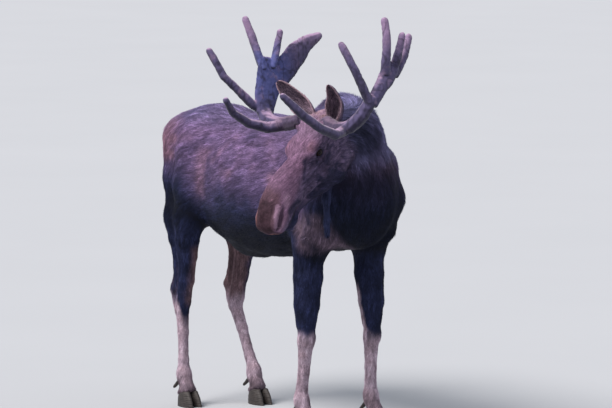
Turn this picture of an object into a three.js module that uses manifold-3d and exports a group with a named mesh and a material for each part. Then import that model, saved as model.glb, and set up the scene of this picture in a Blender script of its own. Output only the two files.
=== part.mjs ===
// A young bull moose in velvet, life size, standing on four feet and looking back over its right side.
// Millimetres. +X is the way the trunk faces, +Y is the animal's left and +Z is up.
// The hooves stand on Z = 0. The flesh is one smooth field of rounded shapes. Each body part is a tube
// of rings laid on that field, and gaps CUT_GAP wide part the neighbours.
import * as THREE from "three";
import { mergeVertices } from "three/addons/utils/BufferGeometryUtils.js";
import Module from "manifold-3d";

const wasm = await Module();
wasm.setup();

// ---------------------------------------------------------------- driving dimensions
const CUT_GAP = 0.4; // between two neighbouring pieces
const EYE_RADIUS = 21;
const POLL = [772, -322, 1732]; // the top of the skull between the antlers
const HEAD_YAW = -80; // degrees, turned from +X towards the right flank
const HEAD_PITCH = 50; // degrees that the line of the nose points down
const HEAD_ROLL = 3; // degrees, left side down
const TOE_LENGTH = 148;
const TOE_WIDTH = 52;
const TOE_HEIGHT = 88;
const FETLOCK_HEIGHT = 168;
const KNEE_HEIGHT = 512;
const HOCK_HEIGHT = 578;

// Where each foot stands and how its leg runs down to it.
const LEGS = {
  fore_right: { side: -1, elbow: [492, 186], joint: [474, 190], fetlock: [438, 194], toe: [500, 196] },
  fore_left: { side: 1, elbow: [508, 186], joint: [534, 194], fetlock: [520, 198], toe: [584, 200] },
  hind_right: { side: -1, joint: [-728, 182], fetlock: [-706, 186], toe: [-644, 188] },
  hind_left: { side: 1, joint: [-728, 174], fetlock: [-556, 178], toe: [-495, 180] },
};

// ---------------------------------------------------------------- small helpers
const vec = (p) => new THREE.Vector3(p[0], p[1], p[2]);
const rad = THREE.MathUtils.degToRad;
const lerp = THREE.MathUtils.lerp;

// ---------------------------------------------------------------- rounded shapes, as distances
// Each returns the distance in mm from (x, y, z) to its surface, negative inside.
// An ellipsoid with half-axes along its own X, Y and Z, leaned nose-down by `lean` degrees.
function egg([cx, cy, cz], [rx, ry, rz], lean = 0) {
  const c = Math.cos(rad(lean));
  const s = Math.sin(rad(lean));
  return (x, y, z) => {
    const dx = x - cx;
    const dy = y - cy;
    const dz = z - cz;
    const a = dx * c - dz * s;
    const b = dx * s + dz * c;
    const k0 = Math.hypot(a / rx, dy / ry, b / rz);
    const k1 = Math.hypot(a / (rx * rx), dy / (ry * ry), b / (rz * rz));
    return k1 < 1e-9 ? -Math.min(rx, ry, rz) : (k0 * (k0 - 1)) / k1;
  };
}

// A cone with round ends: radius ra at a and rb at b.
function cone([ax, ay, az], ra, [bx, by, bz], rb) {
  const ux = bx - ax;
  const uy = by - ay;
  const uz = bz - az;
  const l2 = ux * ux + uy * uy + uz * uz;
  const rr = ra - rb;
  const a2 = l2 - rr * rr;
  return (x, y, z) => {
    const px = x - ax;
    const py = y - ay;
    const pz = z - az;
    const t = px * ux + py * uy + pz * uz;
    const w = t - l2;
    const qx = px * l2 - ux * t;
    const qy = py * l2 - uy * t;
    const qz = pz * l2 - uz * t;
    const x2 = qx * qx + qy * qy + qz * qz;
    const y2 = t * t * l2;
    const z2 = w * w * l2;
    const k = Math.sign(rr) * rr * rr * x2;
    if (Math.sign(w) * a2 * z2 > k) return Math.sqrt(x2 + z2) / l2 - rb;
    if (Math.sign(t) * a2 * y2 < k) return Math.sqrt(x2 + y2) / l2 - ra;
    return (Math.sqrt((x2 * a2) / l2) + t * rr) / l2 - ra;
  };
}

// A run of cones through the points [x, y, z, radius].
function chain(points, k = 12) {
  const parts = points.slice(1).map((b, i) => cone(points[i], points[i][3], b, b[3]));
  return blend(k, parts);
}

// A union whose creases are filled over a width of k.
function blend(k, shapes) {
  return (x, y, z) => {
    let d = shapes[0](x, y, z);
    for (let i = 1; i < shapes.length; i++) {
      const e = shapes[i](x, y, z);
      const h = Math.max(k - Math.abs(d - e), 0) / k;
      d = Math.min(d, e) - (h * h * k) / 4;
    }
    return d;
  };
}

// What is left of `shape` when `tool` is pressed into it, with a rim softened over k.
function carve(shape, tool, k) {
  return (x, y, z) => {
    const d = shape(x, y, z);
    const e = -tool(x, y, z);
    const h = Math.max(k - Math.abs(d - e), 0) / k;
    return Math.max(d, e) + (h * h * k) / 4;
  };
}

const bothSides = (make) => [make(-1), make(1)];

// `shape` is written in the frame of `matrix`, and the answer is in the model's frame.
function placed(shape, matrix) {
  const e = matrix.clone().invert().elements;
  return (x, y, z) =>
    shape(
      e[0] * x + e[4] * y + e[8] * z + e[12],
      e[1] * x + e[5] * y + e[9] * z + e[13],
      e[2] * x + e[6] * y + e[10] * z + e[14],
    );
}

// ---------------------------------------------------------------- the trunk
function haunch(side) {
  return blend(50, [
    chain([[-600, side * 125, 1420, 150], [-610, side * 170, 1220, 124], [-648, side * 188, 1050, 84]], 40),
    chain([[-778, side * 134, 1476, 122], [-775, side * 155, 1260, 102], [-770, side * 166, 1040, 84]], 40),
  ]);
}

function shoulder(side) {
  return blend(50, [
    chain([[430, side * 84, 1600, 84], [592, side * 174, 1405, 112], [642, side * 192, 1240, 108]], 40),
    egg([455, side * 182, 1190], [165, 84, 190], -12),
    chain([[642, side * 192, 1240, 108], [604, side * 190, 1090, 94], [540, side * 186, 1010, 90]], 30),
  ]);
}

const trunkField = blend(80, [
  egg([-110, 0, 1262], [720, 300, 392]), // barrel
  ...bothSides((s) => egg([-598, s * 58, 1436], [335, 178, 232])), // croup
  egg([470, 0, 1318], [395, 262, 366]), // rib cage
  egg([560, 0, 1555], [300, 118, 256]), // hump over the withers
  egg([690, 0, 1235], [185, 190, 245]), // breast
  ...bothSides(haunch),
  ...bothSides(shoulder),
  egg([-300, 0, 905], [150, 62, 50]), // sheath
]);

// ---------------------------------------------------------------- the head, in its own frame
// +X runs from the poll along the nose, +Y is the animal's left and +Z is away from the jaw.
const headFrame = new THREE.Matrix4()
  .makeRotationFromEuler(new THREE.Euler(rad(HEAD_ROLL), rad(HEAD_PITCH), rad(HEAD_YAW), "ZYX"))
  .setPosition(vec(POLL));
const inHead = (p) => vec(p).applyMatrix4(headFrame);

const EYE = (side) => [208, side * 80, -66];

const faceMass = blend(30, [
  egg([82, 0, -84], [138, 98, 92]), // brain case
  egg([160, 0, -48], [130, 92, 62]), // forehead
  egg([300, 0, -64], [135, 68, 72]), // root of the nose
  egg([455, 0, -56], [165, 74, 96]), // bridge of the nose
  egg([566, 0, -72], [132, 80, 94]), // muzzle
  ...bothSides((s) => cone([70, s * 56, -36], 42, [78, s * 92, -14], 38)), // root of the antler
  ...bothSides((s) => cone([185, s * 66, -38], 40, [234, s * 70, -32], 37)), // brow
  ...bothSides((s) => egg([165, s * 56, -182], [138, 42, 112])), // cheek
  ...bothSides((s) => cone([255, s * 46, -160], 56, [450, s * 38, -110], 44)),
]);
const lips = blend(20, [
  egg([644, 0, -92], [66, 66, 52]), // front of the upper lip
  ...bothSides((s) => egg([640, s * 46, -78], [62, 34, 46])), // flare of the nostril
  ...bothSides((s) => egg([610, s * 42, -126], [78, 30, 32])), // overhanging lip
]);
const jaw = blend(30, [
  ...bothSides((s) =>
    chain(
      [[98, s * 42, -246, 60], [205, s * 40, -258, 56], [300, s * 34, -232, 40], [460, s * 22, -172, 26]],
      20,
    ),
  ),
  cone([440, 0, -172], 30, [550, 0, -182], 32),
  egg([572, 0, -184], [52, 42, 32]), // chin
]);
const nostril = (s) => chain([[586, s * 90, -52, 14], [650, s * 84, -86, 16], [676, s * 62, -116, 8]], 6);
const eyeHollow = (s) => egg([210, s * 108, -66], [34, 16, 22]);

let headShape = blend(18, [blend(26, [faceMass, lips]), jaw]);
for (const side of [-1, 1]) {
  headShape = carve(headShape, nostril(side), 10);
  headShape = carve(headShape, eyeHollow(side), 12);
}
const headField = placed(headShape, headFrame);

// ---------------------------------------------------------------- the neck, its beard and the tail
const CREST = [[600, 10, 1560, 165], [660, -30, 1600, 145], [718, -120, 1645, 104], [752, -212, 1672, 82]];
const THROAT = [[600, 0, 1350, 215], [672, -35, 1450, 172], [714, -88, 1548, 126], [738, -132, 1612, 96]];
const neckField = blend(80, [chain(CREST, 40), chain(THROAT, 40)]);

// ---------------------------------------------------------------- the legs
function foreleg({ side, elbow, joint, fetlock, toe }) {
  const y = (t) => side * t;
  return blend(26, [
    chain([
      [elbow[0], y(elbow[1]), 1030, 92],
      [lerp(elbow[0], joint[0], 0.4), y(elbow[1]), 835, 84],
      [lerp(elbow[0], joint[0], 0.75), y(joint[1]), 690, 72],
      [joint[0] - 2, y(joint[1]), 585, 57],
    ]),
    egg([joint[0] + 4, y(joint[1]), KNEE_HEIGHT], [54, 50, 62]),
    chain([
      [joint[0] - 6, y(joint[1]), KNEE_HEIGHT - 40, 43],
      [lerp(joint[0], fetlock[0], 0.5) - 4, y(joint[1]), 330, 33],
      [fetlock[0] - 4, y(fetlock[1]), FETLOCK_HEIGHT + 30, 36],
    ]),
    foot({ side, fetlock, toe }),
  ]);
}

function hindleg({ side, joint, fetlock, toe }) {
  const y = (t) => side * t;
  const [jx, jy] = joint;
  return blend(24, [
    chain([
      [-646, y(188), 1040, 84],
      [-664, y(190), 930, 74],
      [-666, y(188), 840, 60],
      [jx + 44, y(jy + 2), 700, 48],
      [jx + 26, y(jy), 640, 44],
    ]),
    chain([
      [-768, y(170), 1040, 84],
      [-762, y(184), 930, 62],
      [-748, y(186), 840, 44],
      [-752, y(jy + 2), 745, 28],
    ]),
    egg([jx + 14, y(jy), HOCK_HEIGHT + 6], [50, 44, 68], 10),
    chain([[-756, y(186), 800, 30], [jx - 58, y(jy), 716, 20], [jx - 84, y(jy), 648, 21]]), // tendon
    chain([
      [-744, y(186), 800, 30], // the web between the tendon and the bone
      [jx - 26, y(jy), 716, 28],
      [jx - 44, y(jy), 640, 28],
      [jx - 30, y(jy), 570, 32],
    ]),
    cone([jx - 82, y(jy), 642], 24, [jx - 20, y(jy), HOCK_HEIGHT - 44], 32), // point of the hock
    chain([
      [jx, y(jy), HOCK_HEIGHT - 60, 39],
      [lerp(jx, fetlock[0], 0.35), y(jy), 410, 32],
      [lerp(jx, fetlock[0], 0.75), y(fetlock[1]), 260, 30],
      [fetlock[0] - 4, y(fetlock[1]), FETLOCK_HEIGHT + 28, 36],
    ]),
    foot({ side, fetlock, toe }),
  ]);
}

// Fetlock, pastern and the flesh above the two toes.
function foot({ side, fetlock, toe }) {
  const y = side * fetlock[1];
  return blend(18, [
    egg([fetlock[0], y, FETLOCK_HEIGHT], [46, 44, 48]),
    cone([fetlock[0] + 6, y, FETLOCK_HEIGHT - 20], 40, [toe[0] - 22, side * toe[1], 96], 42),
    ...bothSides((s) => {
      const clawY = side * toe[1] + s * 28;
      return cone([toe[0] - 46, clawY, 72], 28, [toe[0] + 16, clawY, 84], 24);
    }),
  ]);
}

const LEG_FIELDS = Object.fromEntries(
  Object.entries(LEGS).map(([name, leg]) => [name, name.startsWith("fore") ? foreleg(leg) : hindleg(leg)]),
);

const bodyField = blend(60, [trunkField, neckField, headField, ...Object.values(LEG_FIELDS)]);

// ---------------------------------------------------------------- meshes from rings
function toSolid(positions, triangles) {
  const vertProperties = new Float32Array(positions);
  const triVerts = new Uint32Array(triangles);
  return new wasm.Manifold(new wasm.Mesh({ numProp: 3, vertProperties, triVerts }));
}

// A closed solid from rings of equal count, with a fan to `first` and to `last` at its ends.
// The rings turn right-handed about the way from first to last.
function ringSolid(rings, first, last) {
  const sides = rings[0].length;
  const positions = [...rings.flat(), first, last].flatMap((p) => [p.x, p.y, p.z]);
  const firstAt = rings.length * sides;
  const triangles = [];
  for (let j = 0; j < sides; j++) {
    const next = (j + 1) % sides;
    triangles.push(firstAt, next, j);
    triangles.push(firstAt + 1, (rings.length - 1) * sides + j, (rings.length - 1) * sides + next);
    for (let i = 0; i + 1 < rings.length; i++) {
      const [a, b] = [i * sides + j, i * sides + next];
      triangles.push(a, b, a + sides, b, b + sides, a + sides);
    }
  }
  return toSolid(positions, triangles);
}

// How far a ray from `from` runs before it leaves the field.
function reach(field, from, way, limit) {
  let near = 0;
  let far = limit;
  for (let r = 0, i = 0; i < 200; i++) {
    const d = field(from.x + way.x * r, from.y + way.y * r, from.z + way.z * r);
    if (d > -0.02) {
      far = r;
      break;
    }
    near = r;
    r += Math.max(-d * 0.8, 0.4);
    if (r >= limit) return limit;
  }
  for (let i = 0; i < 12; i++) {
    const r = (near + far) / 2;
    if (field(from.x + way.x * r, from.y + way.y * r, from.z + way.z * r) > 0) far = r;
    else near = r;
  }
  return Math.max(near, 1);
}

// Lays a tube on `field` round the line through `axis`. `across` is the way its first side faces.
// `stations` are the shares of the line that carry a ring; a dome closes each end in `dome` steps.
function wrap(field, axis, { stations, sides, across, limit = 600, dome = [5, 5] }) {
  const line = new THREE.CatmullRomCurve3(axis.map(vec));
  const frameAt = (t) => {
    const along = line.getTangentAt(t);
    const u = vec(across).addScaledVector(along, -vec(across).dot(along)).normalize();
    return { at: line.getPointAt(t), along, u, w: new THREE.Vector3().crossVectors(along, u) };
  };
  // A ring of rays leaned by `lean` from square to the line towards its end.
  const ring = ({ at, along, u, w }, lean) =>
    Array.from({ length: sides }, (_, j) => {
      const a = (2 * Math.PI * j) / sides;
      const way = u.clone().multiplyScalar(Math.cos(a) * Math.cos(lean));
      way.addScaledVector(w, Math.sin(a) * Math.cos(lean)).addScaledVector(along, Math.sin(lean));
      return at.clone().addScaledVector(way, reach(field, at, way, limit));
    });
  const start = frameAt(stations[0]);
  const end = frameAt(stations[stations.length - 1]);
  const rings = stations.map((t) => ring(frameAt(t), 0));
  for (let i = 1; i < dome[0]; i++) rings.unshift(ring(start, (-Math.PI / 2) * (i / dome[0])));
  for (let i = 1; i < dome[1]; i++) rings.push(ring(end, (Math.PI / 2) * (i / dome[1])));
  const pole = (from, way) => from.clone().addScaledVector(way, reach(field, from, way, limit));
  const first = dome[0] ? pole(start.at, start.along.clone().negate()) : start.at;
  const last = dome[1] ? pole(end.at, end.along) : end.at;
  return ringSolid(rings, first, last);
}

function evenly(count, from = 0, to = 1) {
  return Array.from({ length: count }, (_, i) => lerp(from, to, i / (count - 1)));
}

// A horn-like rod through points [x, y, z, half width, half thickness], with a round tip and a flat root.
// `across` is the way its width runs.
function rod(points, { across = [1, 0, 0], sides = 8, steps = 5, tip = 2 } = {}) {
  const line = new THREE.CatmullRomCurve3(points.map(vec));
  const sizeAt = (t, k) => {
    const s = t * (points.length - 1);
    const i = Math.min(Math.floor(s), points.length - 2);
    const f = s - i;
    const size = (p) => p[k] ?? p[3];
    return lerp(size(points[i]), size(points[i + 1]), f * f * (3 - 2 * f));
  };
  const ring = (t, shrink, push) => {
    const along = line.getTangent(t);
    const u = vec(across).addScaledVector(along, -vec(across).dot(along)).normalize();
    const w = new THREE.Vector3().crossVectors(along, u);
    const at = line.getPoint(t).addScaledVector(along, push);
    return Array.from({ length: sides }, (_, j) => {
      const a = (2 * Math.PI * j) / sides;
      return at
        .clone()
        .addScaledVector(u, Math.cos(a) * sizeAt(t, 3) * shrink)
        .addScaledVector(w, Math.sin(a) * sizeAt(t, 4) * shrink);
    });
  };
  const rings = evenly(steps).map((t) => ring(t, 1, 0));
  const tipReach = sizeAt(1, 4);
  for (let i = 1; i < tip; i++) {
    const a = (Math.PI / 2) * (i / tip);
    rings.push(ring(1, Math.cos(a), tipReach * Math.sin(a)));
  }
  return ringSolid(rings, line.getPoint(0), line.getPoint(1).addScaledVector(line.getTangent(1), tipReach));
}

// A three.js geometry as a solid.
function solidOf(geometry, matrix = new THREE.Matrix4()) {
  const bare = geometry.clone().applyMatrix4(matrix);
  bare.deleteAttribute("normal");
  bare.deleteAttribute("uv");
  const merged = mergeVertices(bare, 1e-4);
  return toSolid(merged.attributes.position.array, merged.index.array);
}

// A solid with every face moved out by at least CUT_GAP, to cut its neighbours back from it.
const SWELL_PASSES = 4;
function swollen(solid) {
  const { vertProperties, triVerts } = solid.getMesh();
  const count = vertProperties.length / 3;
  const points = Array.from({ length: count }, (_, i) => vec(vertProperties.slice(3 * i)));
  const shifts = points.map(() => new THREE.Vector3());
  for (let pass = 0; pass < SWELL_PASSES; pass++) {
    for (let t = 0; t < triVerts.length; t += 3) {
      const corners = [...triVerts.slice(t, t + 3)];
      const normal = new THREE.Triangle(...corners.map((i) => points[i])).getNormal(new THREE.Vector3());
      for (const i of corners) {
        shifts[i].addScaledVector(normal, Math.max(CUT_GAP - shifts[i].dot(normal), 0));
      }
    }
  }
  const moved = points.flatMap((point, i) => point.add(shifts[i]).toArray());
  return toSolid(moved, triVerts);
}

// What is left of `solid` beside its neighbours: its largest piece.
function besides(solid, neighbours) {
  const left = neighbours.reduce((rest, neighbour) => rest.subtract(swollen(neighbour)), solid);
  return left.decompose().sort((a, b) => b.volume() - a.volume())[0];
}

// What lies behind all of `planes`, each { at, normal }, when every one of them is moved out by `push`.
const BLOCK = 5000;
function region(planes, push = 0) {
  const blocks = planes.map(({ at, normal }) => {
    const n = vec(normal).normalize();
    const turn = new THREE.Quaternion().setFromUnitVectors(new THREE.Vector3(0, 0, 1), n);
    const centre = vec(at).addScaledVector(n, push - BLOCK / 2);
    const place = new THREE.Matrix4().compose(centre, turn, new THREE.Vector3(1, 1, 1));
    return solidOf(new THREE.BoxGeometry(BLOCK, BLOCK, BLOCK), place);
  });
  return blocks.reduce((all, block) => all.intersect(block));
}

// `field` without what lies more than `slack` in front of the plane { at, normal }.
function clipped(field, { at, normal }, slack) {
  const n = vec(normal).normalize();
  const offset = n.dot(vec(at)) + slack;
  return (x, y, z) => Math.max(field(x, y, z), n.x * x + n.y * y + n.z * z - offset);
}
const flipped = ({ at, normal }) => ({ at, normal: normal.map((t) => -t) });

// ---------------------------------------------------------------- cuts between the body parts
const NECK_PLANE = { at: [728, -45, 1510], normal: [-0.75, 0.56, -0.35] };
const HEAD_PLANE = {
  at: inHead([8, 0, -100]).toArray(),
  normal: vec([-0.94, 0, -0.34]).transformDirection(headFrame).toArray(),
};
const NECK_PLANES = [NECK_PLANE, flipped(HEAD_PLANE)];
// The nape runs on into the head above this plane. The throat below it belongs to the trunk.
const THROAT_PLANE = {
  at: inHead([0, 0, -150]).toArray(),
  normal: vec([0, 0, -1]).transformDirection(headFrame).toArray(),
};
// A leg lies under a sloping plane at the elbow or the thigh, outside a plane beside the breastbone or groin,
// and beyond a square plane where the flank begins.
const LEG_PLANES = Object.fromEntries(
  Object.entries(LEGS).map(([name, { side }]) => [
    name,
    name.startsWith("fore")
      ? [
          { at: [500, side * 190, 1085], normal: [0.1, side * -0.5, 1] },
          { at: [500, side * 92, 1000], normal: [0, -side, 0] },
          { at: [372, 0, 0], normal: [-1, 0, 0] },
        ]
      : [
          { at: [-600, side * 190, 1120], normal: [0.4, side * -0.35, 1] },
          { at: [-600, side * 34, 1000], normal: [0, -side, 0] },
          { at: [-505, 0, 0], normal: [1, 0, 0] },
        ],
  ]),
);

// ---------------------------------------------------------------- body parts
const SLACK = 15; // how far a tube runs on past the cut that ends it

function makeTrunk() {
  const stumps = Object.entries(LEG_FIELDS).map(([name, field]) =>
    clipped(field, flipped(LEG_PLANES[name][0]), SLACK),
  );
  const field = blend(60, [trunkField, neckField, ...stumps]);
  const tube = wrap(field, [[-690, 0, 1370], [-250, 0, 1290], [200, 0, 1310], [620, 0, 1330]], {
    stations: evenly(13),
    sides: 28,
    across: [0, 1, 0],
    limit: 700,
    dome: [5, 7],
  });
  const cuts = [...Object.values(LEG_PLANES), NECK_PLANES].map((planes) => region(planes, CUT_GAP / 2));
  return cuts.reduce((left, cut) => left.subtract(cut), tube);
}

function makeNeck() {
  const field = clipped(bodyField, flipped(HEAD_PLANE), SLACK);
  const tube = wrap(field, [[600, 20, 1450], [700, -50, 1500], [742, -140, 1570], [756, -215, 1640]], {
    stations: evenly(8),
    sides: 20,
    across: [1, 0, 0],
    limit: 420,
    dome: [0, 4],
  });
  return tube.intersect(region(NECK_PLANES, -CUT_GAP / 2));
}

function makeHead() {
  const nape = clipped(clipped(neckField, HEAD_PLANE, SLACK), THROAT_PLANE, 0);
  const field = blend(40, [headField, nape]);
  const axis = [[40, 0, -130], [200, 0, -140], [420, 0, -130], [610, 0, -135]];
  const tube = wrap(field, axis.map((p) => inHead(p).toArray()), {
    stations: [...evenly(8, 0, 0.52), ...evenly(9, 0.575, 1)],
    sides: 26,
    across: vec([0, 1, 0]).transformDirection(headFrame).toArray(),
    limit: 330,
    dome: [4, 6],
  });
  return tube.intersect(region([HEAD_PLANE], -CUT_GAP / 2));
}

function makeLeg(name) {
  const { side, elbow, joint, fetlock, toe } = LEGS[name];
  const y = (t) => side * t;
  const top = elbow ? [elbow[0], y(elbow[1]), 1110] : [-700, y(160), 1230];
  const upper = elbow ? [elbow[0] - 4, y(elbow[1]), 900] : [-700, y(186), 900];
  const middle = [joint[0], y(joint[1]), elbow ? KNEE_HEIGHT : HOCK_HEIGHT];
  const shank = [lerp(joint[0], fetlock[0], 0.6), y(fetlock[1]), elbow ? 300 : 330];
  const low = [fetlock[0], y(fetlock[1]), FETLOCK_HEIGHT];
  const sole = [toe[0] - 16, y(toe[1]), 92];
  const field = clipped(blend(60, [trunkField, LEG_FIELDS[name]]), LEG_PLANES[name][0], SLACK * 3);
  const tube = wrap(field, [top, upper, middle, shank, low, sole], {
    stations: [...evenly(5, 0.04, 0.38), ...evenly(11, 0.44, 1)],
    sides: 12,
    across: [1, 0, 0],
    limit: 260,
    dome: [0, 3],
  });
  return tube.intersect(region(LEG_PLANES[name], -CUT_GAP / 2));
}

// ---------------------------------------------------------------- hooves
// One claw: its outline from above is a long half oval, narrowing to the toe, and it leans in as it rises.
function clawOutline(length, width, sides) {
  return Array.from({ length: sides }, (_, j) => {
    const a = (2 * Math.PI * j) / sides;
    const x = Math.cos(a);
    return [(x * length) / 2, (Math.sin(a) * width * (1 - 0.32 * Math.max(x, 0) ** 2)) / 2];
  });
}

function makeClaw([x, y], inward) {
  const outline = clawOutline(TOE_LENGTH, TOE_WIDTH, 10);
  const levels = [[0, 1, 1, 0], [46, 0.88, 1, -8], [TOE_HEIGHT, 0.66, 0.84, -20]];
  const heelDrop = 0.32;
  const rings = levels.map(([z, long, wide, back]) =>
    outline.map(([u, w]) => {
      const towardsHeel = Math.max(-u / (TOE_LENGTH / 2), 0);
      const height = z * (1 - heelDrop * (z / TOE_HEIGHT) * towardsHeel);
      return vec([x + back + u * long, y + w * wide + inward * 3 * (z / TOE_HEIGHT), height]);
    }),
  );
  const middle = (ring) => ring.reduce((sum, p) => sum.add(p), new THREE.Vector3()).divideScalar(ring.length);
  return ringSolid(rings, middle(rings[0]), middle(rings[rings.length - 1]));
}

function makeDewclaw([x, y], outward) {
  const root = [x + 12, y - outward * 6, 142, 17, 14];
  const tip = [x - 30, y + outward * 8, 98, 11, 9];
  return rod([root, tip], { across: [0, 1, 0], sides: 6, steps: 2 });
}

// ---------------------------------------------------------------- ears
// A leaf-shaped cup from `base` to `tip`, open towards `facing`.
const EAR_STATIONS = [0, 0.12, 0.28, 0.48, 0.68, 0.84, 0.95];
const EAR_WALL = 9;
const EAR_SIDES = 6;
function makeEar(base, tip, facing, width) {
  const from = vec(base);
  const along = vec(tip).sub(from);
  const length = along.length();
  along.normalize();
  const open = vec(facing).addScaledVector(along, -vec(facing).dot(along)).normalize();
  const wide = new THREE.Vector3().crossVectors(open, along);
  const rings = EAR_STATIONS.map((t) => {
    const flare = 0.5 + 0.5 * Math.sin(Math.PI * Math.min(t / 0.84, 0.5));
    const half = (width / 2) * flare * Math.sqrt(1 - t ** 2.6);
    // Half the arc of the cup: a roll at the base, a leaf above.
    const spread = lerp(2.5, 1.3, Math.min(t * 1.9, 1));
    const wall = Math.min(EAR_WALL, half * 0.45);
    const centre = from.clone().addScaledVector(along, t * length);
    centre.addScaledVector(open, -16 * Math.sin(Math.PI * t));
    const arc = (scale) =>
      evenly(EAR_SIDES + 1, -spread, spread).map((a) =>
        centre
          .clone()
          .addScaledVector(wide, Math.sin(a) * half * scale)
          .addScaledVector(open, -Math.cos(a) * half * lerp(1, 0.7, t) * scale),
      );
    return [...arc(1), ...arc(1 - wall / half).reverse()];
  });
  const spine = (ring) => ring[EAR_SIDES / 2].clone().lerp(ring[ring.length - 1 - EAR_SIDES / 2], 0.5);
  const point = spine(rings[rings.length - 1]).addScaledVector(along, length * 0.04);
  return ringSolid(rings, spine(rings[0]), point);
}

// ---------------------------------------------------------------- antlers
// Points are [x, y, z, half width, half thickness]; `across` is the way the width runs.
const LEFT_ANTLER = {
  beam: {
    points: [
      [862, -338, 1682, 36],
      [960, -338, 1657, 35],
      [1052, -318, 1674, 34],
      [1118, -290, 1738, 35],
      [1150, -262, 1812, 30],
    ],
    across: [0.3, 1, 0],
    steps: 9,
  },
  brow_tine: {
    points: [
      [1010, -330, 1650, 28],
      [1062, -420, 1636, 25],
      [1094, -540, 1678, 22],
      [1096, -650, 1752, 21],
      [1066, -748, 1846, 17],
    ],
  },
  fore_tine: {
    points: [
      [1152, -274, 1800, 24],
      [1152, -318, 1885, 21],
      [1134, -352, 1970, 20],
      [1100, -380, 2050, 19],
      [1076, -394, 2094, 16],
    ],
  },
  palm: {
    points: [
      [1148, -256, 1790, 34, 28],
      [1146, -204, 1862, 36, 24],
      [1136, -144, 1935, 47, 20],
      [1132, -116, 1982, 46, 17],
    ],
    across: [0, 1, 0.5],
    steps: 6,
  },
  mid_tine: {
    points: [
      [1140, -165, 1940, 23],
      [1152, -168, 2020, 22],
      [1154, -164, 2110, 21],
      [1134, -164, 2212, 17],
    ],
  },
  rear_tine: { points: [[1128, -110, 1950, 22], [1136, -82, 2030, 20], [1136, -56, 2134, 16]] },
  outer_tine: {
    points: [
      [1120, -95, 1930, 24],
      [1108, -40, 1992, 21],
      [1086, 8, 2062, 20],
      [1066, 38, 2118, 16],
    ],
  },
};
const RIGHT_ANTLER = {
  beam: {
    points: [
      [700, -376, 1682, 38],
      [620, -396, 1664, 36],
      [530, -412, 1656, 35],
      [462, -424, 1672, 38],
      [428, -425, 1712, 40, 26],
    ],
    across: [0.3, 1, 0],
    steps: 9,
  },
  brow_tine: {
    points: [
      [590, -400, 1655, 30],
      [556, -470, 1640, 28],
      [548, -560, 1652, 25],
      [556, -660, 1694, 21],
      [572, -732, 1742, 18],
      [584, -770, 1796, 14],
    ],
  },
  low_tine: {
    points: [
      [408, -420, 1720, 26],
      [400, -480, 1748, 22],
      [374, -548, 1822, 20],
      [342, -622, 1898, 19],
      [288, -674, 2030, 16],
    ],
  },
  palm: {
    points: [
      [428, -422, 1700, 46, 24],
      [410, -402, 1790, 70, 17],
      [402, -370, 1880, 84, 14],
      [398, -346, 1972, 92, 12],
    ],
    across: [0, 1, 0.15],
    steps: 7,
    sides: 12,
  },
  fore_tine: {
    points: [
      [396, -410, 1930, 26, 14],
      [380, -424, 1985, 23, 18],
      [358, -442, 2070, 21],
      [312, -464, 2190, 16],
    ],
  },
  mid_tine: { points: [[408, -360, 1940, 24, 13], [416, -344, 2010, 20, 16], [416, -318, 2124, 14]] },
  rear_lobe: {
    points: [
      [406, -330, 1866, 62, 13],
      [404, -266, 1940, 72, 12],
      [400, -200, 2006, 68, 13],
      [388, -128, 2056, 44, 16],
      [376, -44, 2090, 20],
    ],
    across: [0, -0.65, 0.76],
  },
};

// The pieces of one antler. Each piece stops at the ones named before it in its row here.
const STOPS = {
  beam: [],
  brow_tine: ["beam"],
  palm: ["beam"],
  low_tine: ["beam", "palm"],
  fore_tine: ["palm", "beam"],
  mid_tine: ["palm", "fore_tine"],
  outer_tine: ["palm", "mid_tine"],
  rear_tine: ["palm", "mid_tine", "outer_tine"],
  rear_lobe: ["palm", "mid_tine"],
};
function makeAntler(pieces, head) {
  const whole = {};
  const solids = {};
  for (const name of Object.keys(STOPS).filter((n) => pieces[n])) {
    const { points, ...shape } = pieces[name];
    whole[name] = rod(points, shape);
    const stops = STOPS[name].filter((n) => pieces[n]).map((n) => whole[n]);
    solids[name] = besides(whole[name], [head, ...stops]);
  }
  return solids;
}

// ---------------------------------------------------------------- bell and tail
const BELL = {
  points: [
    [758, -262, 1400, 40, 34],
    [770, -272, 1290, 28, 22],
    [771, -268, 1180, 22, 17],
    [768, -262, 1090, 21, 16],
    [766, -260, 1050, 18, 14],
  ],
  across: [0.574, 0.819, 0],
};
const TAIL = {
  points: [
    [-880, 0, 1545, 42, 34],
    [-930, 0, 1500, 40, 26],
    [-952, 0, 1440, 32, 20],
    [-955, 0, 1395, 20, 14],
  ],
  across: [0, 1, 0],
};

// ---------------------------------------------------------------- eyes
function makeEye(side) {
  const place = new THREE.Matrix4().setPosition(inHead(EYE(side)));
  return solidOf(new THREE.IcosahedronGeometry(EYE_RADIUS, 1), place);
}

// ---------------------------------------------------------------- feet
const CLAW_SPREAD = 29; // from the middle of the foot to the middle of a claw
const DEWCLAW_SPREAD = 26;
const DEWCLAW_BACK = 18;
const clawAt = ({ side, toe }, s) => [toe[0], side * toe[1] + s * CLAW_SPREAD];
const dewclawAt = ({ side, fetlock }, s) => [
  fetlock[0] - DEWCLAW_BACK,
  side * fetlock[1] + s * DEWCLAW_SPREAD,
];

function makeFoot(name) {
  const leg = LEGS[name];
  const horn = {};
  for (const [place, s] of [["outer", leg.side], ["inner", -leg.side]]) {
    horn[`${name}_${place}_claw`] = makeClaw(clawAt(leg, s), -s);
    horn[`${name}_${place}_dewclaw`] = makeDewclaw(dewclawAt(leg, s), s);
  }
  return { [name]: besides(makeLeg(name), Object.values(horn)), ...horn };
}

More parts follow.
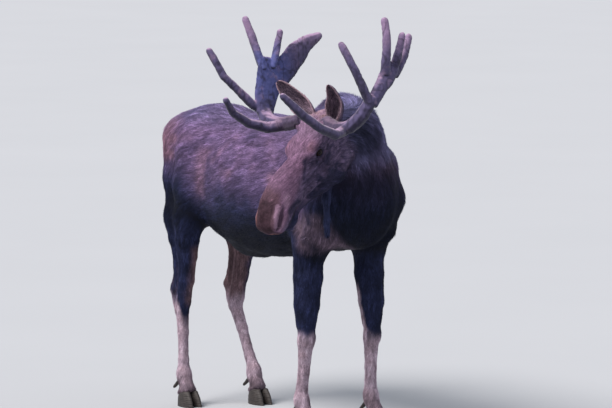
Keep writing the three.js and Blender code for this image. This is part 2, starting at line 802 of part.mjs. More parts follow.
// ---------------------------------------------------------------- assembly
const EAR_WIDTH = 96;
const SIDES = {
  left: { side: 1, antler: LEFT_ANTLER, earTip: [935, -375, 1885], earFacing: [0.2, -1, 0.1] },
  right: { side: -1, antler: RIGHT_ANTLER, earTip: [552, -436, 1884], earFacing: [0.75, -0.6, 0] },
};
const head = makeHead();
const trunk = besides(makeTrunk(), [head]);
const neck = besides(makeNeck(), []);
const solids = {
  trunk,
  neck,
  head: besides(head, [makeEye(-1), makeEye(1)]),
  bell: besides(rod(BELL.points, BELL), [head, trunk]),
  tail: besides(rod(TAIL.points, TAIL), [trunk]),
};
for (const [name, { side, antler, earTip, earFacing }] of Object.entries(SIDES)) {
  solids[`${name}_eye`] = makeEye(side);
  for (const [piece, solid] of Object.entries(makeAntler(antler, head))) {
    solids[`${name}_antler_${piece}`] = solid;
  }
  const earRoot = inHead([10, side * 84, -60]).toArray();
  const ear = makeEar(earRoot, earTip, earFacing, EAR_WIDTH);
  solids[`${name}_ear`] = besides(ear, [head, neck, trunk, solids[`${name}_antler_beam`]]);
}
for (const name of Object.keys(LEGS)) Object.assign(solids, makeFoot(name));

const HIDE = { color: 0x3a2d2b, roughness: 0.85, metalness: 0 };
const VELVET = { color: 0x5a4b52, roughness: 0.9, metalness: 0 };
const HORN = { color: 0x1d1a1b, roughness: 0.5, metalness: 0 };
const EYE_LOOK = { color: 0x120b08, roughness: 0.1, metalness: 0 };
function lookOf(name) {
  if (name.endsWith("_eye")) return EYE_LOOK;
  if (name.endsWith("claw")) return HORN;
  return name.includes("_antler_") ? VELVET : HIDE;
}

const group = new THREE.Group();
for (const [name, solid] of Object.entries(solids)) {
  const { vertProperties, triVerts } = solid.simplify(0.05).getMesh();
  const geometry = new THREE.BufferGeometry()
    .setAttribute("position", new THREE.BufferAttribute(new Float32Array(vertProperties), 3))
    .setIndex(new THREE.BufferAttribute(new Uint32Array(triVerts), 1));
  const mesh = new THREE.Mesh(geometry, new THREE.MeshStandardMaterial(lookOf(name)));
  mesh.name = name;
  group.add(mesh);
}
// The origin is on the floor below the middle of the whole model's box.
const centre = new THREE.Box3().setFromObject(group).getCenter(new THREE.Vector3());
group.position.set(-centre.x, -centre.y, 0);
export default group;
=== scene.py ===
"""A young bull moose in velvet, life size, as a still museum model.

The flesh is a field of rounded shapes, the same ones that the CAD solids follow, written in millimetres in
the model's frame: +X is the way the trunk faces, +Y is the animal's left and +Z is up from the floor.
The skin is laid on that field a coat's depth inside the solids, and the coat grows on the skin in tufts.
"""
import functools
import math

import bmesh
import bpy
import numpy as np
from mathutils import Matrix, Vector


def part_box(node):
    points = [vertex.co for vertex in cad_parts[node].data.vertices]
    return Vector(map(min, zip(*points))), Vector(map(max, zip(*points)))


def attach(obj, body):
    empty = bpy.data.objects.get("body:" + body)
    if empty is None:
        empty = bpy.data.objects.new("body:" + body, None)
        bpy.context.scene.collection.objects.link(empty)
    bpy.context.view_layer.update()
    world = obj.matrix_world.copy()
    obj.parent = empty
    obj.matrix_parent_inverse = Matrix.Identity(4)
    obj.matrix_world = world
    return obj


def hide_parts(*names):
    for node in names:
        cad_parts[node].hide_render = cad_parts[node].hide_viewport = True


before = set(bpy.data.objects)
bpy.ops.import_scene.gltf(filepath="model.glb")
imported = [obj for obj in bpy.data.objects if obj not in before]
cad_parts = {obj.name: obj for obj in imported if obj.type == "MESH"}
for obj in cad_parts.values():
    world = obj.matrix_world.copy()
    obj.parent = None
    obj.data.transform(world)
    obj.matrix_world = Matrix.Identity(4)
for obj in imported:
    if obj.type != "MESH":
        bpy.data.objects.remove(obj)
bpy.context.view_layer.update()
MM = 0.001
SEED = 20261


# ---------------- the model's frame and the head's frame
def turned(yaw, pitch, roll):
    """The rotation Rz(yaw) Ry(pitch) Rx(roll), in degrees."""
    cy, sy = math.cos(math.radians(yaw)), math.sin(math.radians(yaw))
    cp, sp = math.cos(math.radians(pitch)), math.sin(math.radians(pitch))
    cr, sr = math.cos(math.radians(roll)), math.sin(math.radians(roll))
    about_z = np.array([[cy, -sy, 0], [sy, cy, 0], [0, 0, 1]])
    about_y = np.array([[cp, 0, sp], [0, 1, 0], [-sp, 0, cp]])
    about_x = np.array([[1, 0, 0], [0, cr, -sr], [0, sr, cr]])
    return about_z @ about_y @ about_x


POLL = np.array([772.0, -322.0, 1732.0])  # the top of the skull between the antlers
HEAD_TURN = turned(-80, 50, 3)  # columns: along the nose, to the animal's left, away from the jaw
EYE = np.array([208.0, 80.0, -66.0])  # the left eye in the head's frame


def in_head(point):
    """A point of the head's frame in the model's frame."""
    return POLL + HEAD_TURN @ np.asarray(point, float)


def to_head(points):
    return (points - POLL) @ HEAD_TURN


def one_side(h):
    """Points of the head's frame with both sides laid on the left one."""
    return np.stack([h[:, 0], np.abs(h[:, 1]), h[:, 2]], 1)


def box_centre(node):
    low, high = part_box(node)
    return np.array((low + high) / 2)


# The eyes are round and lie level across the head, so the middle between them ties the two frames together.
ORIGIN = (box_centre("left_eye") + box_centre("right_eye")) / 2 - in_head(EYE * [1, 0, 1]) * MM


def to_row(points):
    return np.asarray(points) * MM + ORIGIN


def to_model(points):
    return (np.asarray(points) - ORIGIN) / MM


# ---------------- camera
HEADING = math.radians(55)  # from the trunk's +X to the picture's right
ELEVATION = math.radians(6)
DISTANCE = 22.0
AIM = np.array([66.0, 94.0, 1165.0])  # the point in the middle of the picture
FRAME_WIDTH = 612
PIXELS_PER_METRE = 186  # at the aim
SENSOR = 36.0


def make_camera():
    away = np.array([-math.sin(HEADING), math.cos(HEADING), 0])
    forward = away * math.cos(ELEVATION) - np.array([0, 0, math.sin(ELEVATION)])
    data = bpy.data.cameras.new("camera")
    data.sensor_width = SENSOR
    data.lens = PIXELS_PER_METRE * DISTANCE / FRAME_WIDTH * SENSOR
    data.clip_end = 100
    camera = bpy.data.objects.new("camera", data)
    camera.location = to_row(AIM) - forward * DISTANCE
    camera.rotation_mode = "QUATERNION"
    camera.rotation_quaternion = Vector(forward).to_track_quat("-Z", "Y")
    bpy.context.scene.collection.objects.link(camera)
    bpy.context.scene.camera = camera


make_camera()


# ---------------- rounded shapes, as distances
# Each shape is a function of an array of points (n, 3) that returns their distances, negative inside.
def egg(centre, radii, lean=0.0):
    """An ellipsoid, leaned nose-down by `lean` degrees."""
    centre, radii = np.array(centre, float), np.array(radii, float)
    c, s = math.cos(math.radians(lean)), math.sin(math.radians(lean))

    def distance(p):
        d = p - centre
        q = np.stack([d[:, 0] * c - d[:, 2] * s, d[:, 1], d[:, 0] * s + d[:, 2] * c], 1) / radii
        k0 = np.sqrt(np.einsum("ij,ij->i", q, q))
        q /= radii
        k1 = np.sqrt(np.einsum("ij,ij->i", q, q))
        return k0 * (k0 - 1) / np.maximum(k1, 1e-9)

    return distance


def cone(a, ra, b, rb):
    """A cone with round ends: radius ra at a and rb at b."""
    a, b = np.array(a, float), np.array(b, float)
    u = b - a
    l2 = float(u @ u)
    rr = ra - rb
    a2 = l2 - rr * rr

    def distance(p):
        d = p - a
        t = d @ u
        w = t - l2
        q = d * l2 - t[:, None] * u
        x2 = np.einsum("ij,ij->i", q, q)
        y2 = t * t * l2
        z2 = w * w * l2
        k = np.sign(rr) * rr * rr * x2
        side = (np.sqrt(np.maximum(x2 * a2 / l2, 0)) + t * rr) / l2 - ra
        near_b = np.sqrt(x2 + z2) / l2 - rb
        near_a = np.sqrt(x2 + y2) / l2 - ra
        return np.where(np.sign(w) * a2 * z2 > k, near_b, np.where(np.sign(t) * a2 * y2 < k, near_a, side))

    return distance


def fused(d, e, k):
    """The lower of two distances, with the crease between them filled over a width of k."""
    h = np.maximum(k - np.abs(d - e), 0) / k
    return np.minimum(d, e) - h * h * k / 4


def blend(k, shapes):
    """A union with filled creases."""
    return lambda p: functools.reduce(lambda d, shape: fused(d, shape(p), k), shapes[1:], shapes[0](p))


def chain(points, k=12):
    """A run of cones through the points [x, y, z, radius]."""
    return blend(k, [cone(a[:3], a[3], b[:3], b[3]) for a, b in zip(points, points[1:])])


def carve(shape, tool, k):
    """What is left of `shape` when `tool` is pressed into it, with a rim softened over k."""
    return lambda p: -fused(-shape(p), tool(p), k)


def both_sides(make):
    return [make(-1), make(1)]


def paired(k, *points):
    """A chain for either side: called with 1 for the left or -1 for the right, which multiplies each y."""
    return lambda s: chain([[x, s * y, z, r] for x, y, z, r in points], k)


def lerp(a, b, t):
    return a + (b - a) * t


def unit(v):
    """Rows of length 1; a single vector counts as one row."""
    return v / np.maximum(np.linalg.norm(v, axis=-1, keepdims=True), 1e-9)


def smooth(low, high, value):
    """0 below low and 1 above high, or the other way round if low is the larger."""
    t = np.clip((value - low) / (high - low), 0, 1)
    return t * t * (3 - 2 * t)


# ---------------- the trunk
thigh = paired(40, (-600, 125, 1420, 150), (-610, 170, 1220, 124), (-648, 188, 1050, 84))
ham = paired(40, (-778, 134, 1476, 122), (-775, 155, 1260, 102), (-770, 166, 1040, 84))
blade = paired(40, (430, 84, 1600, 84), (592, 174, 1405, 112), (642, 192, 1240, 108))
upper_arm = paired(30, (642, 192, 1240, 108), (604, 190, 1090, 94), (540, 186, 1010, 90))


def shoulder(s):
    return blend(50, [blade(s), egg([455, s * 182, 1190], [165, 84, 190], -12), upper_arm(s)])


trunk_field = blend(80, [
    egg([-110, 0, 1262], [720, 300, 392]),
    *both_sides(lambda s: egg([-598, s * 58, 1436], [335, 178, 232])),
    egg([470, 0, 1318], [395, 262, 366]),
    egg([560, 0, 1555], [300, 118, 256]),
    egg([690, 0, 1235], [185, 190, 245]),
    *both_sides(lambda s: blend(50, [thigh(s), ham(s)])),
    *both_sides(shoulder),
    egg([-300, 0, 905], [150, 62, 50]),
])
CREST = [[600, 10, 1560, 165], [660, -30, 1600, 145], [718, -120, 1645, 104], [752, -212, 1672, 82]]
THROAT = [[600, 0, 1350, 215], [672, -35, 1450, 172], [714, -88, 1548, 126], [738, -132, 1612, 96]]
neck_field = blend(80, [chain(CREST, 40), chain(THROAT, 40)])
BELL = [[758, -250, 1420, 42], [770, -270, 1290, 26], [771, -268, 1180, 22], [768, -262, 1104, 24]]
bell_field = chain(BELL, 20)
TAIL = [[-880, 0, 1545, 36], [-930, 0, 1500, 30], [-952, 0, 1440, 24], [-955, 0, 1408, 16]]
tail_field = chain(TAIL, 20)

# ---------------- the legs
FETLOCK_HEIGHT = 168
KNEE_HEIGHT = 512
HOCK_HEIGHT = 578
CORONET_HEIGHT = 76  # where the flesh ends and the hoof begins, in line with the toe's point
CORONET_SLOPE = 0.3
LEGS = {
    "fore_right": dict(side=-1, elbow=(492, 186), joint=(474, 190), fetlock=(438, 194), toe=(500, 196)),
    "fore_left": dict(side=1, elbow=(508, 186), joint=(534, 194), fetlock=(520, 198), toe=(584, 200)),
    "hind_right": dict(side=-1, joint=(-728, 182), fetlock=(-706, 186), toe=(-644, 188)),
    "hind_left": dict(side=1, joint=(-728, 174), fetlock=(-556, 178), toe=(-495, 180)),
}


def foot(side, fetlock, toe):
    y = side * fetlock[1]
    toe_y = side * toe[1]
    flesh = blend(18, [
        egg([fetlock[0], y, FETLOCK_HEIGHT], [46, 44, 48]),
        cone([fetlock[0] + 6, y, FETLOCK_HEIGHT - 20], 40, [toe[0] - 22, toe_y, 96], 42),
        *both_sides(lambda s: cone(
            [toe[0] - 46, toe_y + s * 27, 74], 26, [toe[0] - 6, toe_y + s * 25, 86], 19
        )),
    ])

    def below_coronet(p):
        return p[:, 2] - CORONET_HEIGHT - CORONET_SLOPE * (p[:, 0] - toe[0])

    return carve(flesh, below_coronet, 22)


def foreleg(side, elbow, joint, fetlock, toe):
    ex, jx, fx = elbow[0], joint[0], fetlock[0]
    ey, jy, fy = side * elbow[1], side * joint[1], side * fetlock[1]
    return blend(26, [
        chain([
            [ex, ey, 1030, 92],
            [lerp(ex, jx, 0.4), ey, 835, 84],
            [lerp(ex, jx, 0.75), jy, 690, 72],
            [jx - 2, jy, 585, 57],
        ]),
        egg([jx + 4, jy, KNEE_HEIGHT], [54, 50, 62]),
        chain([
            [jx - 6, jy, KNEE_HEIGHT - 40, 43],
            [lerp(jx, fx, 0.5) - 4, jy, 330, 33],
            [fx - 4, fy, FETLOCK_HEIGHT + 30, 36],
        ]),
        foot(side, fetlock, toe),
    ])


def hindleg(side, joint, fetlock, toe):
    jx, jy, fx, fy = joint[0], side * joint[1], fetlock[0], side * fetlock[1]
    return blend(24, [
        chain([
            [-646, side * 188, 1040, 84],
            [-664, side * 190, 930, 74],
            [-666, side * 188, 840, 60],
            [jx + 44, jy + side * 2, 700, 48],
            [jx + 26, jy, 640, 44],
        ]),
        chain([
            [-768, side * 170, 1040, 84],
            [-762, side * 184, 930, 62],
            [-748, side * 186, 840, 44],
            [-752, jy + side * 2, 745, 28],
        ]),
        egg([jx + 14, jy, HOCK_HEIGHT + 6], [50, 44, 68], 10),
        chain([[-756, side * 186, 800, 30], [jx - 58, jy, 716, 20], [jx - 84, jy, 648, 21]]),
        chain([
            [-744, side * 186, 800, 30],
            [jx - 26, jy, 716, 28],
            [jx - 44, jy, 640, 28],
            [jx - 30, jy, 570, 32],
        ]),
        cone([jx - 82, jy, 642], 24, [jx - 20, jy, HOCK_HEIGHT - 44], 32),
        chain([
            [jx, jy, HOCK_HEIGHT - 60, 39],
            [lerp(jx, fx, 0.35), jy, 410, 32],
            [lerp(jx, fx, 0.75), fy, 260, 30],
            [fx - 4, fy, FETLOCK_HEIGHT + 28, 36],
        ]),
        foot(side, fetlock, toe),
    ])


leg_fields = {name: (foreleg if "elbow" in leg else hindleg)(**leg) for name, leg in LEGS.items()}

# ---------------- the head, in its own frame
face_mass = blend(44, [
    egg([82, 0, -84], [138, 98, 92]),
    egg([160, 0, -48], [130, 92, 62]),
    egg([300, 0, -64], [135, 68, 72]),
    egg([455, 0, -56], [165, 74, 96]),
    egg([566, 0, -72], [132, 80, 94]),
    *both_sides(paired(12, (70, 56, -36, 42), (78, 92, -14, 38))),
    *both_sides(paired(12, (185, 66, -38, 40), (234, 70, -32, 37))),
    *both_sides(lambda s: egg([165, s * 56, -182], [138, 42, 112])),
    *both_sides(paired(12, (255, 46, -160, 56), (450, 38, -110, 44))),
])
lips = blend(20, [
    egg([644, 0, -92], [66, 66, 52]),
    *both_sides(lambda s: egg([640, s * 46, -78], [62, 34, 46])),
    *both_sides(lambda s: egg([610, s * 42, -126], [78, 30, 32])),
])
jaw_edge = paired(20, (98, 42, -246, 60), (205, 40, -258, 56), (300, 34, -232, 40), (460, 22, -172, 26))
jaw = blend(30, [
    *both_sides(jaw_edge),
    cone([440, 0, -172], 30, [550, 0, -182], 32),
    egg([572, 0, -184], [52, 42, 32]),
])
# The line between the lips, low on the side and round the front.
mouth = blend(6, [
    egg([600, 0, -158], [84, 70, 3.5]), *both_sides(lambda s: egg([535, s * 44, -162], [36, 16, 4]))
])

nostril = paired(4, (572, 82, -48, 5), (614, 79, -64, 11), (652, 73, -80, 12), (682, 65, -96, 7))
nostril_lobe = paired(10, (585, 70, -30, 10), (640, 70, -50, 13), (672, 62, -72, 11))  # in front of it
nostril_wing = paired(10, (548, 72, -66, 10), (606, 72, -94, 14), (664, 62, -116, 10))  # behind and below it
# The edge of bone that runs from below the eye towards the mouth, and the dip between it and the jaw.
face_ridge = paired(30, (225, 74, -104, 10), (330, 58, -120, 14), (450, 52, -120, 10))
cheek_hollow = paired(10, (262, 92, -136, 12), (360, 78, -128, 14), (440, 76, -132, 8))
# The round edge of the chewing muscle.
cheek_muscle = paired(16, (60, 84, -150, 12), (110, 80, -232, 14), (190, 72, -252, 12), (262, 66, -206, 10))
vein = paired(4, (270, 62, -20, 3), (320, 66, -38, 5), (378, 72, -66, 5), (430, 70, -100, 4))
brow_fold = paired(8, (172, 88, -40, 8), (206, 94, -22, 12), (244, 84, -30, 9))  # over the eye


def creases(k, *runs):
    """Thin chains on either side, as one shape."""
    return lambda s: blend(k, [paired(k, *run)(s) for run in runs])


eye_folds = creases(
    2,
    [(182, 96, -46, 2.6), (206, 103, -36, 3), (234, 96, -44, 2.6)],
    [(180, 95, -88, 2.6), (208, 101, -101, 3.2), (238, 94, -96, 2.6)],
    [(184, 94, -108, 2.2), (212, 96, -118, 2.8), (240, 88, -112, 2.2)],
)
wrinkles = creases(
    3,
    [(520, 78, -78, 2), (560, 80, -102, 4), (600, 72, -132, 3)],
    [(498, 76, -70, 1.5), (530, 76, -108, 3.5), (556, 68, -140, 3)],
    [(470, 72, -92, 1.5), (500, 70, -122, 3), (520, 62, -146, 3)],
    [(560, 62, 8, 1.5), (590, 60, -4, 3), (620, 66, -26, 2.5)],
)


def eye_hollow(s):
    return egg([210, s * 108, -66], [34, 16, 22])


def tear_pit(s):
    return egg([247, s * 92, -80], [13, 9, 6], 20)


LID_RADIUS = 24.5
LID_OPENING = [28, 19, 17]


def lids(shape, s):
    """Lids round the eyeball, with an almond opening."""
    eye = EYE * [1, s, 1]
    lidded = blend(9, [shape, egg(eye + [0, s * 1.5, 0], [LID_RADIUS + 3, LID_RADIUS, LID_RADIUS])])
    return carve(lidded, egg(eye + [9, s * 18, 0.5], LID_OPENING, -12), 2.5)


def head_shape():
    shape = blend(18, [blend(26, [face_mass, lips]), jaw])
    for side in (-1, 1):
        shape = blend(14, [shape, nostril_wing(side), nostril_lobe(side)])
        shape = carve(shape, nostril(side), 5)
        shape = carve(shape, eye_hollow(side), 12)
    return shape


def face_detail(shape):
    """The fine folds of the skin, on a shape that already lies a coat's depth inside."""
    shape = carve(shape, mouth, 4)
    for side in (-1, 1):
        shape = blend(30, [shape, face_ridge(side)])
        shape = blend(10, [shape, vein(side), brow_fold(side)])
        shape = carve(shape, cheek_hollow(side), 26)
        shape = blend(24, [shape, cheek_muscle(side)])
        shape = carve(shape, wrinkles(side), 4)
        shape = carve(shape, tear_pit(side), 6)
        shape = carve(shape, eye_folds(side), 4)
        shape = lids(shape, side)
    return shape


head_local = head_shape()


def head_field(p):
    return head_local(to_head(p))


# ---------------- which part of the body a point belongs to
FAR = 500.0  # a part's distance wherever it isn't worked out
EDGE = 50.0


def within(field, low, high):
    """The field worked out only inside a box, to save time: it rises to FAR over the box's last EDGE."""
    low, high = np.array(low, float), np.array(high, float)

    def distance(p):
        room = np.minimum(p - low, high - p).min(1)
        inside = room > 0
        d = np.full(len(p), FAR)
        if inside.any():
            d[inside] = np.minimum(field(p[inside]) + FAR * (1 - smooth(0, EDGE, room[inside])), FAR)
        return d

    return distance


def leg_box(name):
    xs = [value[0] for key, value in LEGS[name].items() if key != "side"]
    side = LEGS[name]["side"]
    ys = sorted((side * -110, side * 430))
    return [min(xs) - 360, ys[0], -200], [max(xs) + 340, ys[1], 1480]


PARTS = {
    "trunk": within(trunk_field, [-1180, -500, 600], [1060, 500, 2040]),
    "neck": within(neck_field, [240, -540, 960], [1080, 410, 1980]),
    "head": within(head_field, [500, -960, 1040], [1060, -100, 1960]),
    **{name: within(field, *leg_box(name)) for name, field in leg_fields.items()},
    "bell": within(bell_field, [580, -460, 900], [940, -70, 1600]),
    "tail": within(tail_field, [-1180, -200, 1220], [-700, 200, 1740]),
}
PART_BLENDS = {"neck": 60, "head": 60, **{name: 60 for name in LEGS}, "bell": 30, "tail": 30}
SHARE_WIDTH = 25.0  # how many mm nearer a part is where it owns a point e times as much


def part_distances(p):
    return {name: field(p) for name, field in PARTS.items()}


def merged(distances):
    d = distances["trunk"]
    for name, k in PART_BLENDS.items():
        d = fused(d, distances[name], k)
    return d


def shares(distances):
    """How far each part owns a point, from 0 to 1."""
    weights = {name: np.exp(-np.clip(d, -60, 400) / SHARE_WIDTH) for name, d in distances.items()}
    total = sum(weights.values())
    return {name: weight / total for name, weight in weights.items()}


def leg_share(share):
    return sum(share[name] for name in LEGS)


def near_eye(h, radius):
    """1 at either eye, fading to 0 at `radius` mm from it."""
    return 1 - smooth(radius * 0.5, radius, np.linalg.norm(one_side(h) - EYE, axis=1))


def coat_depth(p, share):
    """How deep the coat is at each point, in mm."""
    h = to_head(p)
    on_head = lerp(lerp(6.0, 1.5, smooth(330, 590, h[:, 0])), 1.5, near_eye(h, 90))
    depth = share["trunk"] * 10 + share["neck"] * 15 + share["head"] * on_head + share["bell"] * 11
    depth += share["tail"] * 10 + leg_share(share) * lerp(3.5, 9, smooth(500, 950, p[:, 2]))
    crest = smooth(1600, 1760, p[:, 2]) * smooth(250, 420, p[:, 0]) * (1 - share["head"])
    return depth + 8 * crest


def skin_distance(p):
    distances = part_distances(p)
    d = merged(distances) + coat_depth(p, shares(distances))
    face = distances["head"] < 60
    if face.any():
        d[face] = face_detail(lambda h: d[face])(to_head(p[face]))
    return d


def settle(field, p, rounds, stride=30.0, step=0.8):
    """Moves points onto the surface where `field` is 0."""
    p = p.copy()
    for _ in range(rounds):
        d = field(p)
        g = np.stack([field(p + np.eye(3)[i] * step) - d for i in range(3)], 1)
        p -= unit(g) * np.clip(d, -stride, stride)[:, None]
    return p


def lattice_noise(p, size, seed=0):
    """Smooth random values from -1 to 1 that vary over `size`."""
    q = p / size
    cell = np.floor(q).astype(np.int64)
    f = q - cell
    f = f * f * (3 - 2 * f)
    total = np.zeros(len(p))
    for corner in range(8):
        o = np.array([corner & 1, corner >> 1 & 1, corner >> 2 & 1])
        c = cell + o
        key = (c[:, 0] * 73856093) ^ (c[:, 1] * 19349663) ^ (c[:, 2] * 83492791) ^ (seed * 2654435761)
        key = (key ^ (key >> 13)) * 1274126177
        value = ((key ^ (key >> 16)) & 0xFFFF) / 32767.5 - 1
        weight = np.prod(np.where(o, f, 1 - f), axis=1)
        total += weight * value
    return total


def wander(p, size, seed):
    """Smooth random vectors that vary over `size`."""
    return np.stack([lattice_noise(p, size, seed + i) for i in range(3)], 1)


# ---------------- meshes
def mesh_object(name, vertices, faces):
    """An object from arrays: vertices (n, 3) in metres and faces (m, k)."""
    mesh = bpy.data.meshes.new(name)
    faces = np.asarray(faces, np.int32)
    mesh.vertices.add(len(vertices))
    mesh.vertices.foreach_set("co", np.asarray(vertices, np.float32).ravel())
    mesh.loops.add(faces.size)
    mesh.loops.foreach_set("vertex_index", faces.ravel())
    mesh.polygons.add(len(faces))
    mesh.polygons.foreach_set("loop_start", np.arange(0, faces.size, faces.shape[1], dtype=np.int32))
    mesh.polygons.foreach_set("use_smooth", np.ones(len(faces), bool))
    mesh.update(calc_edges=True)
    thing = bpy.data.objects.new(name, mesh)
    bpy.context.scene.collection.objects.link(thing)
    return thing


def fetched(items, key, width, kind=np.float32):
    """One value of every item of a mesh's collection, as rows of `width` numbers."""
    values = np.empty(len(items) * width, kind)
    items.foreach_get(key, values)
    return values.reshape(-1, width)


def points_of(mesh):
    return fetched(mesh.vertices, "co", 3).astype(float)


def normals_of(mesh):
    return fetched(mesh.vertex_normals, "vector", 3).astype(float)


def triangles_of(mesh):
    mesh.calc_loop_triangles()
    return fetched(mesh.loop_triangles, "vertices", 3, np.int32)


def set_points(mesh, points):
    mesh.vertices.foreach_set("co", np.asarray(points, np.float32).ravel())
    mesh.update()


def baked(thing):
    """Applies an object's modifiers to its mesh."""
    graph = bpy.context.evaluated_depsgraph_get()
    mesh = bpy.data.meshes.new_from_object(thing.evaluated_get(graph))
    thing.modifiers.clear()
    old = thing.data
    thing.data = mesh
    bpy.data.meshes.remove(old)
    return thing


def joined_nodes(name, nodes, swell):
    """One mesh of copies of CAD nodes, each moved out by `swell` metres along its own normals."""
    vertices, faces, count = [], [], 0
    for node in nodes:
        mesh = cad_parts[node].data
        merged_co, index = np.unique(np.round(points_of(mesh), 6), axis=0, return_inverse=True)
        vertices.append(merged_co)
        faces.append(index.reshape(-1)[triangles_of(mesh)] + count)
        count += len(merged_co)
    thing = mesh_object(name, np.concatenate(vertices), np.concatenate(faces))
    set_points(thing.data, points_of(thing.data) + normals_of(thing.data) * swell)
    return thing


def neighbours(mesh):
    """A function that gives each vertex the mean of the values at the ends of its edges."""
    a, b = fetched(mesh.edges, "vertices", 2, np.int32).T
    size = len(mesh.vertices)
    count = np.bincount(np.concatenate([a, b]), minlength=size)[:, None]

    def around(values):
        columns = [np.bincount(a, v[b], size) + np.bincount(b, v[a], size) for v in values.T]
        return np.stack(columns, 1) / count

    return around


def relaxed(mesh, rounds, back=0.0):
    """The mesh's points smoothed along its edges; `back` undoes the loss of volume in every other round."""
    p, around = points_of(mesh), neighbours(mesh)
    for k in range(rounds):
        p += (around(p) - p) * (-back if back and k % 2 else 0.5)
    return p


def placed(thing, material, slot, *nodes):
    """Gives a piece its material, on the only body, and has it stand for CAD nodes; `slot` is not used."""
    thing.data.materials.clear()
    thing.data.materials.append(material)
    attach(thing, "root")
    if nodes:
        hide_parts(*nodes)


def lofted(rows, start, end):
    """The (vertices, faces) over rows of points (count, ring, 3), closed with a point at each end."""
    count, ring = rows.shape[:2]
    first, last = count * ring, (count - 1) * ring
    faces = []
    for i in range(0, last, ring):
        for j in range(ring):
            k = (j + 1) % ring
            faces += [(i + j, i + k, i + ring + j), (i + k, i + ring + k, i + ring + j)]
    for j in range(ring):
        k = (j + 1) % ring
        faces += [(first, k, j), (first + 1, last + j, last + k)]
    return np.concatenate([rows.reshape(-1, 3), [start], [end]]), np.array(faces)


def remeshed(thing, voxel):
    modifier = thing.modifiers.new("voxels", "REMESH")
    modifier.mode = "VOXEL"
    modifier.voxel_size = voxel
    modifier.use_smooth_shade = True
    return baked(thing)


# ---------------- the skin
FLESH = ["trunk", "neck", "head", "bell", "tail", *LEGS]
SKIN_VOXEL = 0.012
SKIN_SWELL = 0.0006  # makes the CAD solids overlap where they meet


def refined(thing, wanted):
    """Splits the faces whose centres in the model's frame answer `wanted`, each edge in two."""
    bm = bmesh.new()
    bm.from_mesh(thing.data)
    centres = to_model(np.array([face.calc_center_median() for face in bm.faces]))
    picked = wanted(centres)
    edges = {edge for face, chosen in zip(bm.faces, picked) if chosen for edge in face.edges}
    bmesh.ops.subdivide_edges(bm, edges=list(edges), cuts=1, use_grid_fill=True)
    bm.to_mesh(thing.data)
    bm.free()


def on_face(centres):
    h = to_head(centres)
    return (head_field(centres) < 30) & (h[:, 0] > 60) & (h[:, 2] > -330)


def on_features(centres):
    """Round the eyes, and the muzzle in front of the corners of the mouth."""
    h = to_head(centres)
    return (near_eye(h, 80) > 0.01) | ((h[:, 0] > 510) & (head_field(centres) < 30))


def make_skin():
    skin = remeshed(joined_nodes("skin", FLESH, SKIN_SWELL), SKIN_VOXEL)
    mesh = skin.data
    set_points(mesh, to_row(settle(skin_distance, to_model(relaxed(mesh, 4)), 3)))
    refined(skin, on_face)
    refined(skin, on_features)
    mesh = skin.data
    p = to_model(points_of(mesh))
    face = head_field(p) < 40
    p[face] = settle(skin_distance, p[face], 4, stride=8.0)
    set_points(mesh, to_row(p))
    return skin


# ---------------- the coat's colours and the way it lies
# The violet and the blue in these colours are partly the coat's own and partly a painted reflection of the
# sky on the dark hair.
BACK = [0.140, 0.090, 0.184]
BACK_DARK = [0.055, 0.042, 0.095]
WARM = [0.290, 0.150, 0.180]
SLATE = [0.019, 0.023, 0.062]
BLUE_BLACK = [0.004, 0.005, 0.013]
# A bluish painted sheen, the sky's reflection on the dark hair, over the coat's own violet.
SKY_SHEEN = [0.100, 0.097, 0.195]
BELL_BLUE = [0.028, 0.033, 0.080]
# Painted light on the right upper arm, where it catches the sun.
LIT_ARM = [0.120, 0.082, 0.115]
CHEEK = [0.024, 0.021, 0.048]
CHEEK_LIGHT = [0.130, 0.098, 0.175]
BRIDGE = [0.195, 0.108, 0.180]
BROW = [0.235, 0.150, 0.235]
RUST = [0.300, 0.125, 0.095]
LEG_PALE = [0.540, 0.415, 0.505]
LEG_BROWN = [0.190, 0.115, 0.125]
TOE_BROWN = [0.062, 0.042, 0.055]
NOSE_DARK = [0.028, 0.013, 0.018]
NOSE_BROWN = [0.100, 0.052, 0.066]
NOSE_PINK = [0.300, 0.180, 0.265]
BARE_BLACK = [0.008, 0.007, 0.011]
CROWN = [0.330, 0.215, 0.210]


def plain(colour, like):
    return np.tile(np.array(colour), (len(like), 1))


def mixed(colour, other, share):
    return colour + (np.asarray(other) - colour) * share[:, None]


def layered(colour, *layers):
    """The colour with each (other colour, share) laid over it in turn."""
    for other, share in layers:
        colour = mixed(colour, other, share)
    return colour


def band(value, low, high, soft):
    """1 where `value` is between low and high, fading over `soft` outside."""
    return smooth(low - soft, low, value) * (1 - smooth(high, high + soft, value))


def near(h, centre, radii):
    """1 at a centre, fading to 0 at the surface of an ellipsoid round it."""
    d = (h - np.array(centre, float)) / np.array(radii, float)
    return 1 - smooth(0.35, 1.0, np.sqrt((d * d).sum(1)))


